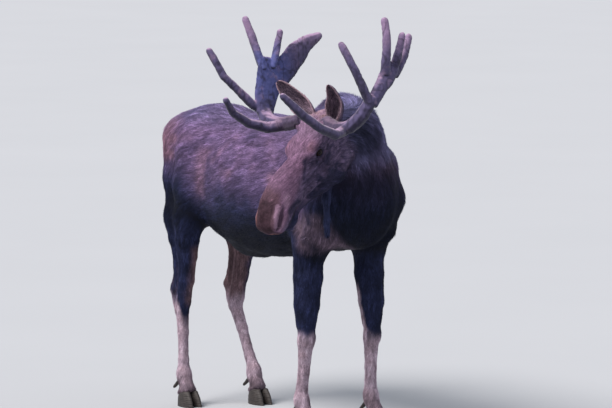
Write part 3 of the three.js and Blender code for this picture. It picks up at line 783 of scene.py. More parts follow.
def body_colour(p):
    """Violet brown over the back and flanks, blue black below."""
    x, y, z = p.T
    patch = lattice_noise(p, 170, 1) * 45 + lattice_noise(p, 60, 2) * 30
    line = 1275 + 110 * smooth(-460, -600, x) - 40 * smooth(200, 500, x) + 150 * smooth(560, 700, x)
    blotch = lattice_noise(p, 130, 3) * 0.6 + lattice_noise(p, 48, 6) * 0.4
    above = smooth(-60, 120, z - line)
    rump = smooth(-640, -740, x) * smooth(1300, 1420, z)
    # painted light, on the right upper arm only
    lit_arm = band(x, 500, 690, 60) * band(z, 1030, 1160, 70) * (y < 0)
    front = smooth(650, 760, x) * (1 - smooth(1400, 1560, z)) * (1 - lit_arm)
    return layered(
        plain(BLUE_BLACK, p),
        (SLATE, smooth(-300, -70, z - line + patch)),
        (BACK, smooth(-190, 165, z - line + patch)),
        (WARM, above * smooth(-0.1, 0.8, blotch) * (1 - smooth(1480, 1560, z)) * 0.55),
        (BACK_DARK, above * smooth(0.0, 0.7, -blotch) * 0.75),
        (WARM, band(x, -440, -390, 60) * band(z, 1240, 1400, 90) * 0.28),
        (WARM, rump * smooth(-0.6, 0.6, blotch) * 0.5),
        # painted sheen on the top of the trunk's front and on the hump
        (SKY_SHEEN, smooth(420, 560, x) * smooth(1400, 1500, z) * 0.7),
        (SKY_SHEEN, smooth(1530, 1640, z) * 0.45),
        (LIT_ARM, lit_arm * smooth(-0.9, 0.1, blotch)),
        (BLUE_BLACK, front * 0.75),
    )


def leg_colour(p):
    """Near black above, pale from the hock and below the knee, with dark toes."""
    x, y, z = p.T
    patch = lattice_noise(p, 45, 4) * 30
    hind = smooth(-200, -300, x)
    inner = smooth(28, -34, np.abs(y) - 190 + 0.5 * patch)
    ahead = lerp(smooth(455, 495, x - 60 * (y > 0)), smooth(-716, -690, x), hind)
    far = y > 0
    start = lerp(548 + 230 * inner * far * (1 - ahead) - 30 * ahead, 600 - 130 * ahead * ~far, hind) + patch
    pale = 1 - smooth(-55, 30, z - start)
    shin = lattice_noise(p, 30, 10) * 0.5 + 0.5
    return layered(
        plain(SLATE, p),
        (BLUE_BLACK, smooth(-0.2, 0.8, lattice_noise(p, 70, 9)) * 0.6),
        (LEG_BROWN, inner * hind * band(z, 600, 860, 60) * 0.9),
        (LEG_PALE, pale),
        (LEG_BROWN, pale * shin * 0.6),
        (TOE_BROWN, (1 - smooth(80, 200, z + patch * 0.8)) * 0.8),
    )


def strip(h, soft, *points):
    """1 along a chain of balls and fading to 0 at `soft` mm outside them."""
    return 1 - smooth(0, soft, chain(points)(h))


def face_colour(h, side_on, noise):
    x, side, z = side_on.T
    edge = -22 - 0.24 * np.clip(x - 282, 0, None) + 0.2 * np.clip(282 - x, 0, 120)
    cheek = smooth(12, -40, z - edge + 10 * noise) * smooth(40, 64, side - 0.1 * z + 6 * noise)
    # a painted highlight along the side of the brow
    highlight_beside_brow = smooth(56, 85, side) * band(x, 205, 240, 24) * band(z, -34, 6, 18)
    # painted shade, darker low on the front of the cheek
    deep = cheek * smooth(-110, -230, z + 0.10 * x - 30) * smooth(150, 240, x)
    # painted shade under the eye
    shade_below_eye = strip(side_on, 48, [205, 96, -112, 10], [300, 72, -110, 8], [380, 66, -96, 6])
    beside_vein = strip(side_on, 12, [250, 64, -26, 3], [300, 60, -34, 3], [378, 70, -70, 4])
    # a painted highlight along the rim of the cheek
    cheek_rim_highlight = strip(side_on, 36, [44, 92, -120, 8], [66, 92, -180, 10], [110, 88, -232, 8])
    # a painted highlight on the fold over the eye
    highlight_over_eye = strip(side_on, 16, [170, 90, -30, 4], [206, 98, -18, 6], [242, 86, -26, 4])
    under_lid = strip(side_on, 10, [186, 97, -92, 2], [212, 103, -98, 2], [236, 96, -94, 2])
    return layered(
        plain(BRIDGE, h),
        (BROW, smooth(230, 120, x) * (1 - cheek) * 0.7),
        (RUST, highlight_beside_brow * 0.18),
        (CHEEK_LIGHT, cheek * 0.8),
        (CHEEK, np.clip(cheek * smooth(-0.35, 0.5, noise) * 0.75 + deep, 0, 1)),
        (CHEEK, (1 - cheek) * smooth(0.1, 0.8, noise) * 0.12),
        (CHEEK, shade_below_eye * 0.6),
        (CHEEK, beside_vein * 0.8),
        (CHEEK_LIGHT, cheek_rim_highlight * 0.55),
        (CHEEK, near_eye(h, 44) * 0.6),
        (BRIDGE, highlight_over_eye * 0.6),
        (BRIDGE, under_lid * 0.35),
        (BARE_BLACK, near_eye(h, 28)),
        (BARE_BLACK, strip(side_on, 7, [240, 92, -72, 3], [256, 86, -84, 3]) * 0.7),
        (BLUE_BLACK, smooth(-235, -300, z) * 0.9),
    )


def muzzle_colour(colour, h, side_on, noise):
    x, side, z = side_on.T
    top = smooth(460, 560, x + 22 * noise) * smooth(-40, 0, z + 0.5 * (x - 560))
    front = smooth(560, 610, x + 10 * noise) * (1 - smooth(50, 62, side + 6 * noise))
    # a painted highlight on the right side of the muzzle only
    lit_right_rim = band(h[:, 1], -80, -52, 18) * band(x, 590, 680, 40) * smooth(-80, -30, z)
    lobe = strip(side_on, 11, [592, 70, -22, 8], [640, 72, -48, 9], [672, 66, -74, 10])
    behind = strip(side_on, 18, [520, 76, -42, 14], [548, 80, -52, 10])
    under = strip(side_on, 22, [560, 74, -98, 12], [500, 70, -118, 14])
    wing = strip(side_on, 6, [600, 80, -86, 4], [650, 74, -100, 5], [682, 64, -110, 4])
    lip = strip(side_on, 14, [520, 60, -152, 12], [600, 60, -150, 10], [640, 50, -148, 6])
    lip_edge = strip(side_on, 8, [668, 52, -128, 5], [700, 20, -120, 5], [704, 0, -120, 5])
    return layered(
        colour,
        (NOSE_BROWN, top * 0.85),
        (NOSE_DARK, front * (0.55 + 0.35 * smooth(-0.7, 0.5, noise))),
        (NOSE_PINK, lobe * 0.9),
        (NOSE_PINK, behind * 0.7),
        (CHEEK, under * 0.8),
        (RUST, lit_right_rim * 0.35),
        (NOSE_PINK, wing * 0.9),
        (BLUE_BLACK, lip * 0.9),
        (RUST, lip_edge * 0.7),
        (BARE_BLACK, 1 - smooth(-3, 5, nostril(1)(side_on))),
        (BARE_BLACK, 1 - smooth(3, 10, np.abs(mouth(side_on) + 3))),
        (SLATE, smooth(-150, -176, z) * smooth(430, 520, x) * 0.85),
    )


def coat_colour(p, share):
    """The markings that skin and coat share, with painted light and painted shade among them, as linear
    colours.
    """
    z = p[:, 2]
    legs = smooth(0.25, 0.75, leg_share(share)) * (1 - smooth(1050, 1180, z))
    slant = z - 0.25 * p[:, 1]
    # painted shade on the neck behind and under the jaw
    shade_behind_jaw = near(to_head(p), [-40, 110, -240], [165, 160, 175])
    colour = layered(
        body_colour(p),
        (leg_colour(p), np.maximum(legs, 1 - smooth(700, 800, z))),
        # painted sheen on the top of the neck, darker below
        (SKY_SHEEN, share["neck"] * smooth(1380, 1520, slant) * 0.8),
        (BLUE_BLACK, share["neck"] * smooth(1500, 1340, slant) * 0.8),
        (BLUE_BLACK, shade_behind_jaw * 0.8),
    )
    head = smooth(0.3, 0.7, share["head"])
    on_head = head > 0
    h = to_head(p[on_head])
    side_on = one_side(h)
    noise = lattice_noise(h, 22, 5) * 0.6 + lattice_noise(h, 9, 15) * 0.5
    crown = smooth(90, 30, h[:, 0]) * smooth(-90, -20, h[:, 2])
    face = muzzle_colour(face_colour(h, side_on, noise), h, side_on, noise)
    face = mixed(face, CROWN, crown * smooth(-0.6, 0.4, noise) * 0.7)
    colour[on_head] = mixed(colour[on_head], face, head[on_head])
    return layered(colour, (BACK_DARK, share["tail"] * 0.9), (BELL_BLUE, share["bell"]))


def along_skin(way, n):
    """Directions laid flat on a surface with the normals n."""
    return unit(way - n * (way * n).sum(1, keepdims=True))


def lie(p, n, share):
    """The way the coat lies, along the skin."""
    x, y, z = p.T
    ones = np.ones(len(p))
    rear = smooth(-520, -820, x)
    arm = band(x, 400, 680, 130) * smooth(1480, 1250, z)
    chest = smooth(640, 780, x)
    back = -ones + rear * 0.5 + arm * 0.6 + chest * 0.9
    trunk = np.stack([back, 0.12 * y / 200, -0.28 - rear - arm * 1.3 - chest], 1)
    neck = np.stack([-0.25 * ones, 0.8 * ones, -0.55 - 0.5 * smooth(1600, 1400, z)], 1)
    h = to_head(p)
    below = smooth(-120, -240, h[:, 2])
    head = np.stack([-ones, 0.25 * np.sign(h[:, 1]), -0.15 - 0.5 * below], 1) @ HEAD_TURN.T
    down = np.stack([-0.1 * ones, 0 * ones, -ones], 1)
    way = trunk * share["trunk"][:, None] + neck * share["neck"][:, None] + head * share["head"][:, None]
    way += down * (leg_share(share) + share["bell"] * 1.5 + share["tail"] * 1.5)[:, None]
    return along_skin(unit(way) + 0.16 * wander(p, 75, 11), n)


# ---------------- colours and unwraps on meshes
def set_colours(mesh, colours):
    layer = mesh.color_attributes.new("Coat", "FLOAT_COLOR", "POINT")
    rgba = np.concatenate([np.clip(colours, 0, 1), np.ones((len(colours), 1))], 1)
    layer.data.foreach_set("color", rgba.astype(np.float32).ravel())
    mesh.color_attributes.active_color = layer


def set_unwrap(mesh, uv):
    """uv holds one pair for each vertex of the mesh."""
    layer = mesh.uv_layers.new(name="OFBake")
    corners = fetched(mesh.loops, "vertex_index", 1, np.int32)[:, 0]
    layer.uv.foreach_set("vector", uv[corners].astype(np.float32).ravel())


# Each part is unrolled about its own axis, from start to end, into its own cell of the unit square.
UNROLL = {
    "trunk": dict(start=(-960, 0, 1340), end=(920, 0, 1340), cell=(0.0, 0.5, 1.0, 0.5)),
    "head": dict(start=in_head([-20, 0, -130]), end=in_head([720, 0, -110]), cell=(0.0, 0.0, 0.4, 0.5)),
    "fore_right": dict(start=(500, -192, 1130), end=(500, -192, 40), cell=(0.4, 0.25, 0.3, 0.25)),
    "fore_left": dict(start=(530, 192, 1130), end=(530, 192, 40), cell=(0.4, 0.0, 0.3, 0.25)),
    "hind_right": dict(start=(-690, -186, 1150), end=(-690, -186, 40), cell=(0.7, 0.25, 0.3, 0.25)),
    "hind_left": dict(start=(-640, 178, 1150), end=(-640, 178, 40), cell=(0.7, 0.0, 0.3, 0.25)),
}
HEAD_CELL = list(UNROLL).index("head")
MARGIN = 0.01  # of a cell, left free along each of its edges


def unrolled(p, part):
    """UV of each point in its part's cell: along the part's axis, and round it."""
    uv = np.zeros((len(p), 2))
    for index, place in enumerate(UNROLL.values()):
        mine = part == index
        start, end = np.array(place["start"], float), np.array(place["end"], float)
        axis = unit(end - start)
        across = unit(np.cross(axis, [0, 0, 1] if abs(axis[2]) < 0.9 else [1, 0, 0]))
        up = np.cross(across, axis)
        d = p[mine] - start
        along = np.clip(d @ axis / np.linalg.norm(end - start), 0, 1)
        round_it = np.arctan2(d @ across, -(d @ up)) / (2 * math.pi) + 0.5
        left, bottom, width, height = place["cell"]
        cell = np.stack([along, round_it], 1) * (1 - 2 * MARGIN) + MARGIN
        uv[mine] = [left, bottom] + cell * [width, height]
    return uv


def part_of(share):
    """The index in UNROLL of the part that each point belongs to."""
    columns = [share["trunk"] + share["neck"] + share["tail"] + share["bell"], share["head"]]
    columns += [share[name] for name in LEGS]
    return np.argmax(np.stack(columns, 1), axis=1)


class Ground:
    """A surface to grow tufts on: its vertices' points and normals, its triangles and their areas in m2."""

    def __init__(self, mesh):
        self.p = to_model(points_of(mesh))
        self.n = normals_of(mesh)
        self.triangles = triangles_of(mesh)
        a, b, c = (self.p[self.triangles[:, i]] for i in range(3))
        self.area = np.linalg.norm(np.cross(b - a, c - a), axis=1) / 2 * MM**2


def skin_ground(mesh):
    """The skin's ground, with each vertex's shares, its part, and the way and the colour of its coat."""
    ground = Ground(mesh)
    around = neighbours(mesh)
    for _ in range(6):
        ground.n = 0.5 * ground.n + 0.5 * around(ground.n)
    ground.n = unit(ground.n)
    ground.share = shares(part_distances(ground.p))
    ground.way = lie(ground.p, ground.n, ground.share)
    ground.colour = coat_colour(ground.p, ground.share)
    ground.part = part_of(ground.share)
    return ground


# ---------------- tufts
def roots(ground, density, rng):
    """Places on the ground, `density` of them for each square metre: (corner indices, weights)."""
    per_triangle = ground.area * density[ground.triangles].mean(1)
    edges = np.concatenate([[0], np.cumsum(per_triangle)])
    count = int(edges[-1])
    at = np.searchsorted(edges, np.arange(count) + rng.random(count), side="right") - 1
    at = np.clip(at, 0, len(per_triangle) - 1)
    u, v = rng.random(count), rng.random(count)
    flip = u + v > 1
    u[flip], v[flip] = 1 - u[flip], 1 - v[flip]
    return ground.triangles[at], np.stack([1 - u - v, u, v], 1)


def mean(values, corners, weights):
    weights = weights if values.ndim == 1 else weights[:, :, None]
    return (values[corners] * weights).sum(1)


TUFT_FACES = {  # by the number of rings under the tip
    1: [(0, 2, 1), (0, 1, 3), (1, 2, 3), (2, 0, 3)],
    2: [
        (0, 2, 1), (0, 1, 4), (0, 4, 3), (1, 2, 5), (1, 5, 4), (2, 0, 3), (2, 3, 5),
        (3, 4, 6), (4, 5, 6), (5, 3, 6),
    ],
}
NORMAL_SOFTNESS = 0.6  # how far a tuft's shading follows the skin under it
ROOT_SHADE, TIP_SHADE = 0.6, 1.25
UNWRAP_RADIUS = 0.0015  # of the ring that a tuft's vertices make in the unwrap


def streaks(p, way, size, seed):
    """Noise from about -1 to 1 that varies over `size` across the coat's lie and four times that along it."""
    return sum(lattice_noise(p + way * (k * 0.7 * size), size, seed) for k in range(-3, 4)) / 3.6


def make_tufts(
    name, ground, density, length, width, lift, rng,
    joints=1, droop=0.0, contrast=0.65, grain=12, sink=1.2,
):
    """Tufts of `length` and `width` mm at each vertex of the ground, rising at `lift` degrees from it.

    Each has `joints` rings of three points under its tip, droops by its length times `droop` and starts
    `sink` mm under the ground. Its colour is the ground's, varied in streaks of `grain` mm by `contrast`.
    """
    corners, weights = roots(ground, density, rng)
    count = len(corners)
    p = mean(ground.p, corners, weights)
    n = mean(ground.n, corners, weights)
    flat = smooth(0.88, 0.985, np.linalg.norm(n, axis=1))  # low where the ground turns sharply
    n = unit(n)
    way = unit(mean(ground.way, corners, weights))
    streak = streaks(p, way, grain, 7)
    clump = lattice_noise(p, 24, 8)
    way = along_skin(way + 0.16 * rng.normal(size=(count, 3)) + 0.22 * wander(p, 38, 12), n)
    side = np.cross(n, way)
    size = mean(length, corners, weights) * rng.uniform(0.7, 1.25, count) * (1 + 0.2 * clump)
    size *= lerp(0.4, 1.0, flat)
    half = mean(width, corners, weights) * rng.uniform(0.7, 1.2, count) / 2
    rise = np.radians(mean(lift, corners, weights) * rng.uniform(0.4, 1.6, count) * (1 + 0.4 * clump))
    fall = np.array([0, 0, -1.0]) * droop
    p = p - n * sink

    def ring(t, scale):
        """Three points of the tuft's section at the share t of its length."""
        out = np.sin(rise) * (t - 0.4 * t * t)
        path = way * (t * np.cos(rise))[:, None] + n * out[:, None] + fall * t * t
        centre = p + path * size[:, None]
        w = (half * scale)[:, None]
        return [centre - side * w, centre + side * w, centre + n * w * 0.6]

    points, shades = [], []
    for k in range(joints):
        t = k / joints
        points += ring(t, 1.0 - 0.3 * t)
        shades += [ROOT_SHADE + (TIP_SHADE - ROOT_SHADE) * t] * 3
    points.append(ring(1.0, 0.0)[0])
    shades.append(TIP_SHADE)
    each = len(points)
    vertices = np.stack(points, 1)
    faces = (np.array(TUFT_FACES[joints])[None] + (np.arange(count) * each)[:, None, None]).reshape(-1, 3)

    base = mean(ground.colour, corners, weights)
    base = base * np.exp(contrast * (1.1 * streak + 0.45 * rng.normal(size=count)))[:, None]
    colours = base[:, None, :] * np.array(shades)[None, :, None]

    angles = np.arange(each) * 2 * math.pi / each
    ring_uv = UNWRAP_RADIUS * np.stack([np.cos(angles), np.sin(angles)], 1)
    uv = unrolled(p, ground.part[corners[:, 0]])[:, None, :] + ring_uv[None]

    thing = mesh_object(name, to_row(vertices.reshape(-1, 3)), faces)
    mesh = thing.data
    set_colours(mesh, colours.reshape(-1, 3))
    set_unwrap(mesh, uv.reshape(-1, 2))
    soft = unit(normals_of(mesh) * (1 - NORMAL_SOFTNESS) + np.repeat(n, each, axis=0) * NORMAL_SOFTNESS)
    mesh.normals_split_custom_set_from_vertices(soft)
    placed(thing, coat_material(), "coat")


# ---------------- materials
def tuned(node, **values):
    """Sets a node's inputs and settings, `_` for a space; an input given an output is wired to it."""
    for key, value in values.items():
        entry = node.inputs.get(key.replace("_", " "))
        if entry is None:
            setattr(node, key, value)
        elif isinstance(value, bpy.types.NodeSocket):
            node.id_data.links.new(value, entry)
        else:
            entry.default_value = value
    return node


def new_material(name, roughness, specular):
    """A material, its shader and a function that adds nodes to it."""
    material = bpy.data.materials.new(name)
    material.use_nodes = True
    nodes = material.node_tree.nodes
    shader = tuned(nodes["Principled BSDF"], Roughness=roughness, Specular_IOR_Level=specular)
    return material, shader, lambda kind, **values: tuned(nodes.new(kind), **values)


def noise(add, scale, detail, roughness=0.5):
    place = add("ShaderNodeTexCoord").outputs["Object"]
    texture = add("ShaderNodeTexNoise", Scale=scale, Detail=detail, Roughness=roughness, Vector=place)
    return texture.outputs["Fac"]


def own_colour(add):
    """The colours that the mesh carries."""
    return add("ShaderNodeVertexColor", layer_name="Coat").outputs["Color"]


def mottled(add, texture, share):
    """The colours that the mesh carries, made uneven by a texture."""
    vary = add("ShaderNodeMixRGB", blend_type="OVERLAY", Fac=share, Color1=own_colour(add), Color2=texture)
    return vary.outputs["Color"]


def ramped(add, texture, low, high):
    """Colours from low to high, as the texture goes from 0 to 1."""
    ramp = add("ShaderNodeValToRGB", Fac=texture)
    for element, colour in zip(ramp.color_ramp.elements, (low, high)):
        element.color = (*colour, 1)
    return ramp.outputs["Color"]


def bumped(add, strength, distance, texture, **over):
    bump = add("ShaderNodeBump", Strength=strength, Distance=distance, Height=texture, **over)
    return bump.outputs["Normal"]


@functools.cache
def coat_material():
    material, shader, add = new_material("coat", roughness=0.6, specular=0.16)
    grain = noise(add, 260.0, 3.0)
    tuned(shader, Base_Color=mottled(add, grain, 0.18), Specular_Tint=(0.6, 0.7, 1.0, 1))
    return material


@functools.cache
def skin_material():
    material, shader, add = new_material("skin", roughness=0.7, specular=0.1)
    hair = noise(add, 330.0, 4.0, 0.65)
    blotches = noise(add, 45.0, 4.0)
    tuned(shader, Base_Color=mottled(add, blotches, 0.35), Normal=bumped(add, 0.5, 0.004, hair))
    return material


@functools.cache
def velvet_material():
    material, shader, add = new_material("velvet", roughness=0.7, specular=0.15)
    blotches = noise(add, 38.0, 5.0, 0.6)
    fuzz = noise(add, 420.0, 3.0)
    rough = bumped(add, 0.45, 0.005, blotches)
    tuned(shader, Base_Color=mottled(add, blotches, 0.5), Normal=bumped(add, 0.35, 0.002, fuzz, Normal=rough))
    tuned(shader, Sheen_Weight=0.22, Sheen_Roughness=0.45)
    return material


@functools.cache
def horn_material():
    material, shader, add = new_material("horn", roughness=0.55, specular=0.35)
    grime = noise(add, 60.0, 5.0)
    rings = add(
        "ShaderNodeTexWave", wave_type="BANDS", bands_direction="Z", Scale=32.0, Distortion=3.5, Detail=3.0,
        Vector=add("ShaderNodeTexCoord").outputs["Object"],
    ).outputs["Fac"]
    colour = ramped(add, grime, (0.012, 0.011, 0.012), (0.055, 0.044, 0.040))
    tuned(shader, Base_Color=colour, Normal=bumped(add, 0.35, 0.002, rings))
    return material


@functools.cache
def eye_material():
    material, shader, add = new_material("eye", roughness=0.07, specular=0.14)
    tuned(shader, Base_Color=own_colour(add), Specular_Tint=(0.55, 0.7, 1.0, 1))
    return material


def floor_material():
    material, shader, add = new_material("floor", roughness=1.0, specular=0.0)
    cloud = noise(add, 0.6, 3.0)
    tuned(shader, Base_Color=ramped(add, cloud, (0.405, 0.420, 0.440), (0.425, 0.440, 0.460)))
    return material


# ---------------- antlers
ANTLER_VOXEL = 0.0045
ANTLER_SWELL = 0.0008
ANTLER_ROUNDS, ANTLER_BACK = 60, 0.52  # of smoothing
PEDICLE = [[30, 40, -60], [78, 96, -10]]  # the root inside the skull and at its side, for the left antler
PEDICLE_SIDES = 16
PEDICLE_REACH = 22  # from its end at the side of the skull into the beam
VELVET = [0.080, 0.066, 0.140]
# A painted reflection of the sky on the velvet of the right palm.
VELVET_SKY_REFLECTION = [0.088, 0.103, 0.285]
# Painted light on the velvet's upward faces.
VELVET_LIT_TOP = [0.36, 0.245, 0.370]
VELVET_PALE = [0.27, 0.180, 0.280]
VELVET_DARK = [0.020, 0.017, 0.036]
# Painted shade on the velvet's downward faces.
VELVET_UNDER_SHADE = [0.012, 0.011, 0.024]
# A painted highlight, paler high up on the tines.
VELVET_TIP_HIGHLIGHT = [0.33, 0.215, 0.340]
VELVET_ROOT = [0.050, 0.032, 0.056]
VELVET_VEIN = [0.016, 0.014, 0.030]


def pedicle(side, beam):
    """A closed rod from inside the skull towards the middle of the beam, as (vertices, faces)."""
    inner, outer = (in_head(np.array(point) * [1, side, 1]) for point in PEDICLE)
    end = outer + unit(beam - outer) * PEDICLE_REACH
    along = unit(outer - inner)
    u = unit(np.cross(along, [0, 0, 1]))
    angles = np.arange(PEDICLE_SIDES)[:, None] * 2 * math.pi / PEDICLE_SIDES
    circle = np.cos(angles) * u + np.sin(angles) * np.cross(along, u)
    return lofted(np.stack([inner + circle * 30, outer + circle * 37, end + circle * 36]), inner, end)


def antler_colour(p, n):
    """Dark velvet with veins along the beams, paler on top and at the tips in painted light, darker below in
    painted shade and blue on the right palm in a painted reflection of the sky.
    """
    blotch = lattice_noise(p, 50, 21) * 0.5 + lattice_noise(p, 18, 22) * 0.6
    # where the sky's reflection is painted on the right palm
    palm_reflection = near(p, [402, -372, 1900], [140, 180, 240])
    root = near(one_side(to_head(p)), [78, 110, 10], [150, 190, 130])
    veins = np.abs(lattice_noise(p * [1, 1, 0.4], 26, 23))
    return layered(
        plain(VELVET, p),
        (VELVET_SKY_REFLECTION, palm_reflection * 0.85),
        # painted light on the faces that turn up
        (VELVET_LIT_TOP, smooth(0.35, 0.95, n[:, 2] + 0.25 * blotch) * (1 - 0.5 * palm_reflection)),
        (VELVET_PALE, smooth(0.2, 0.9, blotch) * 0.6),
        (VELVET_DARK, smooth(0.1, 0.8, -blotch) * 0.7),
        # painted shade on the faces that turn down
        (VELVET_UNDER_SHADE, smooth(0.1, -0.6, n[:, 2]) * 0.8),
        # painted highlight, paler high up
        (VELVET_TIP_HIGHLIGHT, smooth(1990, 2200, p[:, 2] - 40 * blotch) * 0.6),
        (VELVET_ROOT, root * 0.7),
        (VELVET_VEIN, (1 - smooth(0.02, 0.12, veins)) * 0.55),
    )


def make_antler(word, side):
    nodes = [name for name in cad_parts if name.startswith(f"{word}_antler_")]
    antler = joined_nodes(f"{word}_antler", nodes, ANTLER_SWELL)
    vertices, faces = pedicle(side, to_model(box_centre(f"{word}_antler_beam")))
    root = mesh_object("root", to_row(vertices), faces)
    bpy.ops.object.select_all(action="DESELECT")
    root.select_set(True)
    antler.select_set(True)
    bpy.context.view_layer.objects.active = antler
    bpy.ops.object.join()
    mesh = remeshed(antler, ANTLER_VOXEL).data
    set_points(mesh, relaxed(mesh, ANTLER_ROUNDS, ANTLER_BACK))
    p, n = to_model(points_of(mesh)), normals_of(mesh)
    lumps = 2.0 + 1.8 * lattice_noise(p, 34, 31) + 1.1 * lattice_noise(p, 12, 32)
    set_points(mesh, points_of(mesh) + n * (lumps * MM)[:, None])
    set_colours(mesh, antler_colour(p, n))
    placed(antler, velvet_material(), "velvet", *nodes)


# ---------------- claws
CLAW_VOXEL = 0.004
SOLE = 0.006  # a claw's points under this height are its sole
SOLE_DROP = 0.003  # what smoothing lifts the sole by
RING_STEP = 0.0032  # the height in which the rings of growth turn by one radian
RING_HEIGHT = 0.00035


def make_claw(node):
    claw = remeshed(joined_nodes(node + "_horn", [node], 0.0), CLAW_VOXEL)
    mesh = claw.data
    set_points(mesh, relaxed(mesh, 5))
    p, n = points_of(mesh), normals_of(mesh)
    sole = p[:, 2] < SOLE
    p[sole, 2] = np.maximum(p[sole, 2] - SOLE_DROP, 0.0)
    uneven = lattice_noise(to_model(p), 26, 41) * 2.2 + lattice_noise(to_model(p), 9, 42) * 0.6
    rings = RING_HEIGHT * np.sin(p[:, 2] / RING_STEP + uneven) * ~sole
    set_points(mesh, p + n * rings[:, None])
    placed(claw, horn_material(), "horn", node)


# ---------------- eyes
EYE_RADIUS = 22.0
EYE_BULGE = 1.6  # of the clear front
EYE_SEGMENTS, EYE_RINGS = 48, 32
EYE_RIM = [0.010, 0.007, 0.006]
IRIS = [0.018, 0.009, 0.006]
PUPIL = [0.003, 0.003, 0.003]
PUPIL_WIDTH, PUPIL_HEIGHT = 0.42, 0.2  # half of it, for a ball of radius 1


def make_eyeball(word, side):
    """A ball with a clear bulge over an iris and a level, oblong pupil."""
    gaze = HEAD_TURN @ unit(np.array([0.42, side * 0.9, 0.04]))
    level = unit(np.cross(gaze, HEAD_TURN[:, 2]))
    upright = np.cross(gaze, level)
    centre = in_head(EYE * [1, side, 1])
    polar = np.linspace(0, math.pi, EYE_RINGS + 1)[1:-1, None]
    turn = np.arange(EYE_SEGMENTS)[None] * 2 * math.pi / EYE_SEGMENTS
    radius = EYE_RADIUS + EYE_BULGE * (1 - smooth(0.0, 0.75, polar))
    u, v, ahead = np.sin(polar) * np.cos(turn), np.sin(polar) * np.sin(turn), np.cos(polar) + 0 * turn
    rows = u[..., None] * level + v[..., None] * upright + ahead[..., None] * gaze
    front, back = centre + gaze * (EYE_RADIUS + EYE_BULGE), centre - gaze * EYE_RADIUS
    vertices, faces = lofted(centre + rows * radius[..., None], front, back)
    ball = mesh_object(f"{word}_eyeball", to_row(vertices), faces[:, ::-1])
    u, v, ahead = np.append(u, [0, 0]), np.append(v, [0, 0]), np.append(ahead, [1, -1])
    pupil = (1 - smooth(0.7, 1.1, np.hypot(u / PUPIL_WIDTH, v / PUPIL_HEIGHT))) * (ahead > 0)
    set_colours(ball.data, layered(plain(EYE_RIM, vertices), (IRIS, smooth(0.6, 0.8, ahead)), (PUPIL, pupil)))
    placed(ball, eye_material(), "eye", f"{word}_eye")


# ---------------- ears
EARS = {
    "left": dict(side=1, tip=(935, -375, 1885), facing=(0.32, -0.95, 0.1)),
    "right": dict(side=-1, tip=(552, -436, 1884), facing=(0.75, -0.6, 0)),
}
EAR_WIDTH = 112.0
EAR_WALL = 5.0
EAR_ROWS, EAR_ARC = 26, 17
EAR_INSIDE = [0.045, 0.034, 0.060]
EAR_RIM = [0.42, 0.27, 0.30]
FUZZ_INSIDE = [0.22, 0.15, 0.19]
FUZZ_RIM = [0.45, 0.31, 0.38]
FUZZ_DENSITY = 80000
FUZZ_WIDTH = 1.9


def ear_shape(side, tip, facing):
    """Rings of points round the ear's outer and inner face, and the ear's directions along and out of it."""
    base = in_head([10, side * 84, -60])
    length = np.linalg.norm(tip - base) - 6
    along = unit(tip - base)
    opening = along_skin(np.array([facing]), along[None])[0]
    wide = np.cross(opening, along)
    rows = []
    for t in np.linspace(0, 0.985, EAR_ROWS):
        half = EAR_WIDTH / 2 * (0.5 + 0.5 * math.sin(math.pi * min(t / 0.84, 0.5))) * math.sqrt(1 - t**2.6)
        spread = lerp(2.5, 1.25, min(t * 1.9, 1))
        wall = min(EAR_WALL, half * 0.4)
        centre = base + along * t * length - opening * 5 * math.sin(math.pi * t)
        arc = np.linspace(-spread, spread, EAR_ARC)[:, None]
        outward = wide * np.sin(arc) - opening * np.cos(arc) * lerp(1.15, 0.7, t)
        rows.append(np.concatenate([centre + outward * half, centre + outward[::-1] * (half - wall)]))
    return np.array(rows), along, opening


def make_ear(word, rng):
    rows, along, opening = ear_shape(**EARS[word])
    base, top = rows[0].mean(0), rows[-1].mean(0)
    vertices, faces = lofted(rows, base, top + along * 2)
    ear = mesh_object(f"{word}_ear_skin", to_row(vertices), faces)
    bm = bmesh.new()
    bm.from_mesh(ear.data)
    bmesh.ops.recalc_face_normals(bm, faces=bm.faces)
    bm.to_mesh(ear.data)
    bm.free()
    inner = np.append(np.tile(np.repeat([0, 1], EAR_ARC), EAR_ROWS), [0, 0])
    arc = np.abs(np.linspace(-1, 1, EAR_ARC)) ** 6
    rim = np.append(np.tile([*arc, *arc[::-1]], EAR_ROWS), [0, 0])
    part = np.full(len(vertices), HEAD_CELL)
    colours = layered(plain(BACK_DARK, vertices), (EAR_INSIDE, inner))
    set_colours(ear.data, mixed(colours, EAR_RIM, rim * 0.8))
    set_unwrap(ear.data, unrolled(vertices, part))
    placed(ear, skin_material(), "coat", f"{word}_ear")

    fuzz = Ground(ear.data)
    fuzz.part = part
    fuzz.colour = layered(colours, (FUZZ_INSIDE, inner * 0.65), (FUZZ_RIM, rim * 0.8))
    fuzz.way = plain(along - opening * 0.15, vertices)
    height = (vertices - base) @ along / np.linalg.norm(top - base)
    long_inside = 8 + 14 * smooth(0.75, 0.0, height)
    length = (11 + inner * long_inside + rim * 4) * (1 - 0.5 * smooth(0.8, 1.0, height))
    density = FUZZ_DENSITY * (1 - 0.35 * inner)
    width = np.full(len(vertices), FUZZ_WIDTH)
    make_tufts(f"coat_{word}_ear", fuzz, density, length, width, 17 + 9 * inner, rng, sink=0.2)


# ---------------- the coat
BODY_SLICES = [-2000, -700, -520, -340, -150, 60, 270, 440, 600, 2000]  # along x
BODY_DENSITY = 53000  # tufts for each square metre
LOW_LEG_DENSITY, HIGH_LEG_DENSITY = 66000, 42000
FACE_DENSITY = 150000
LONG_DENSITY = 60000


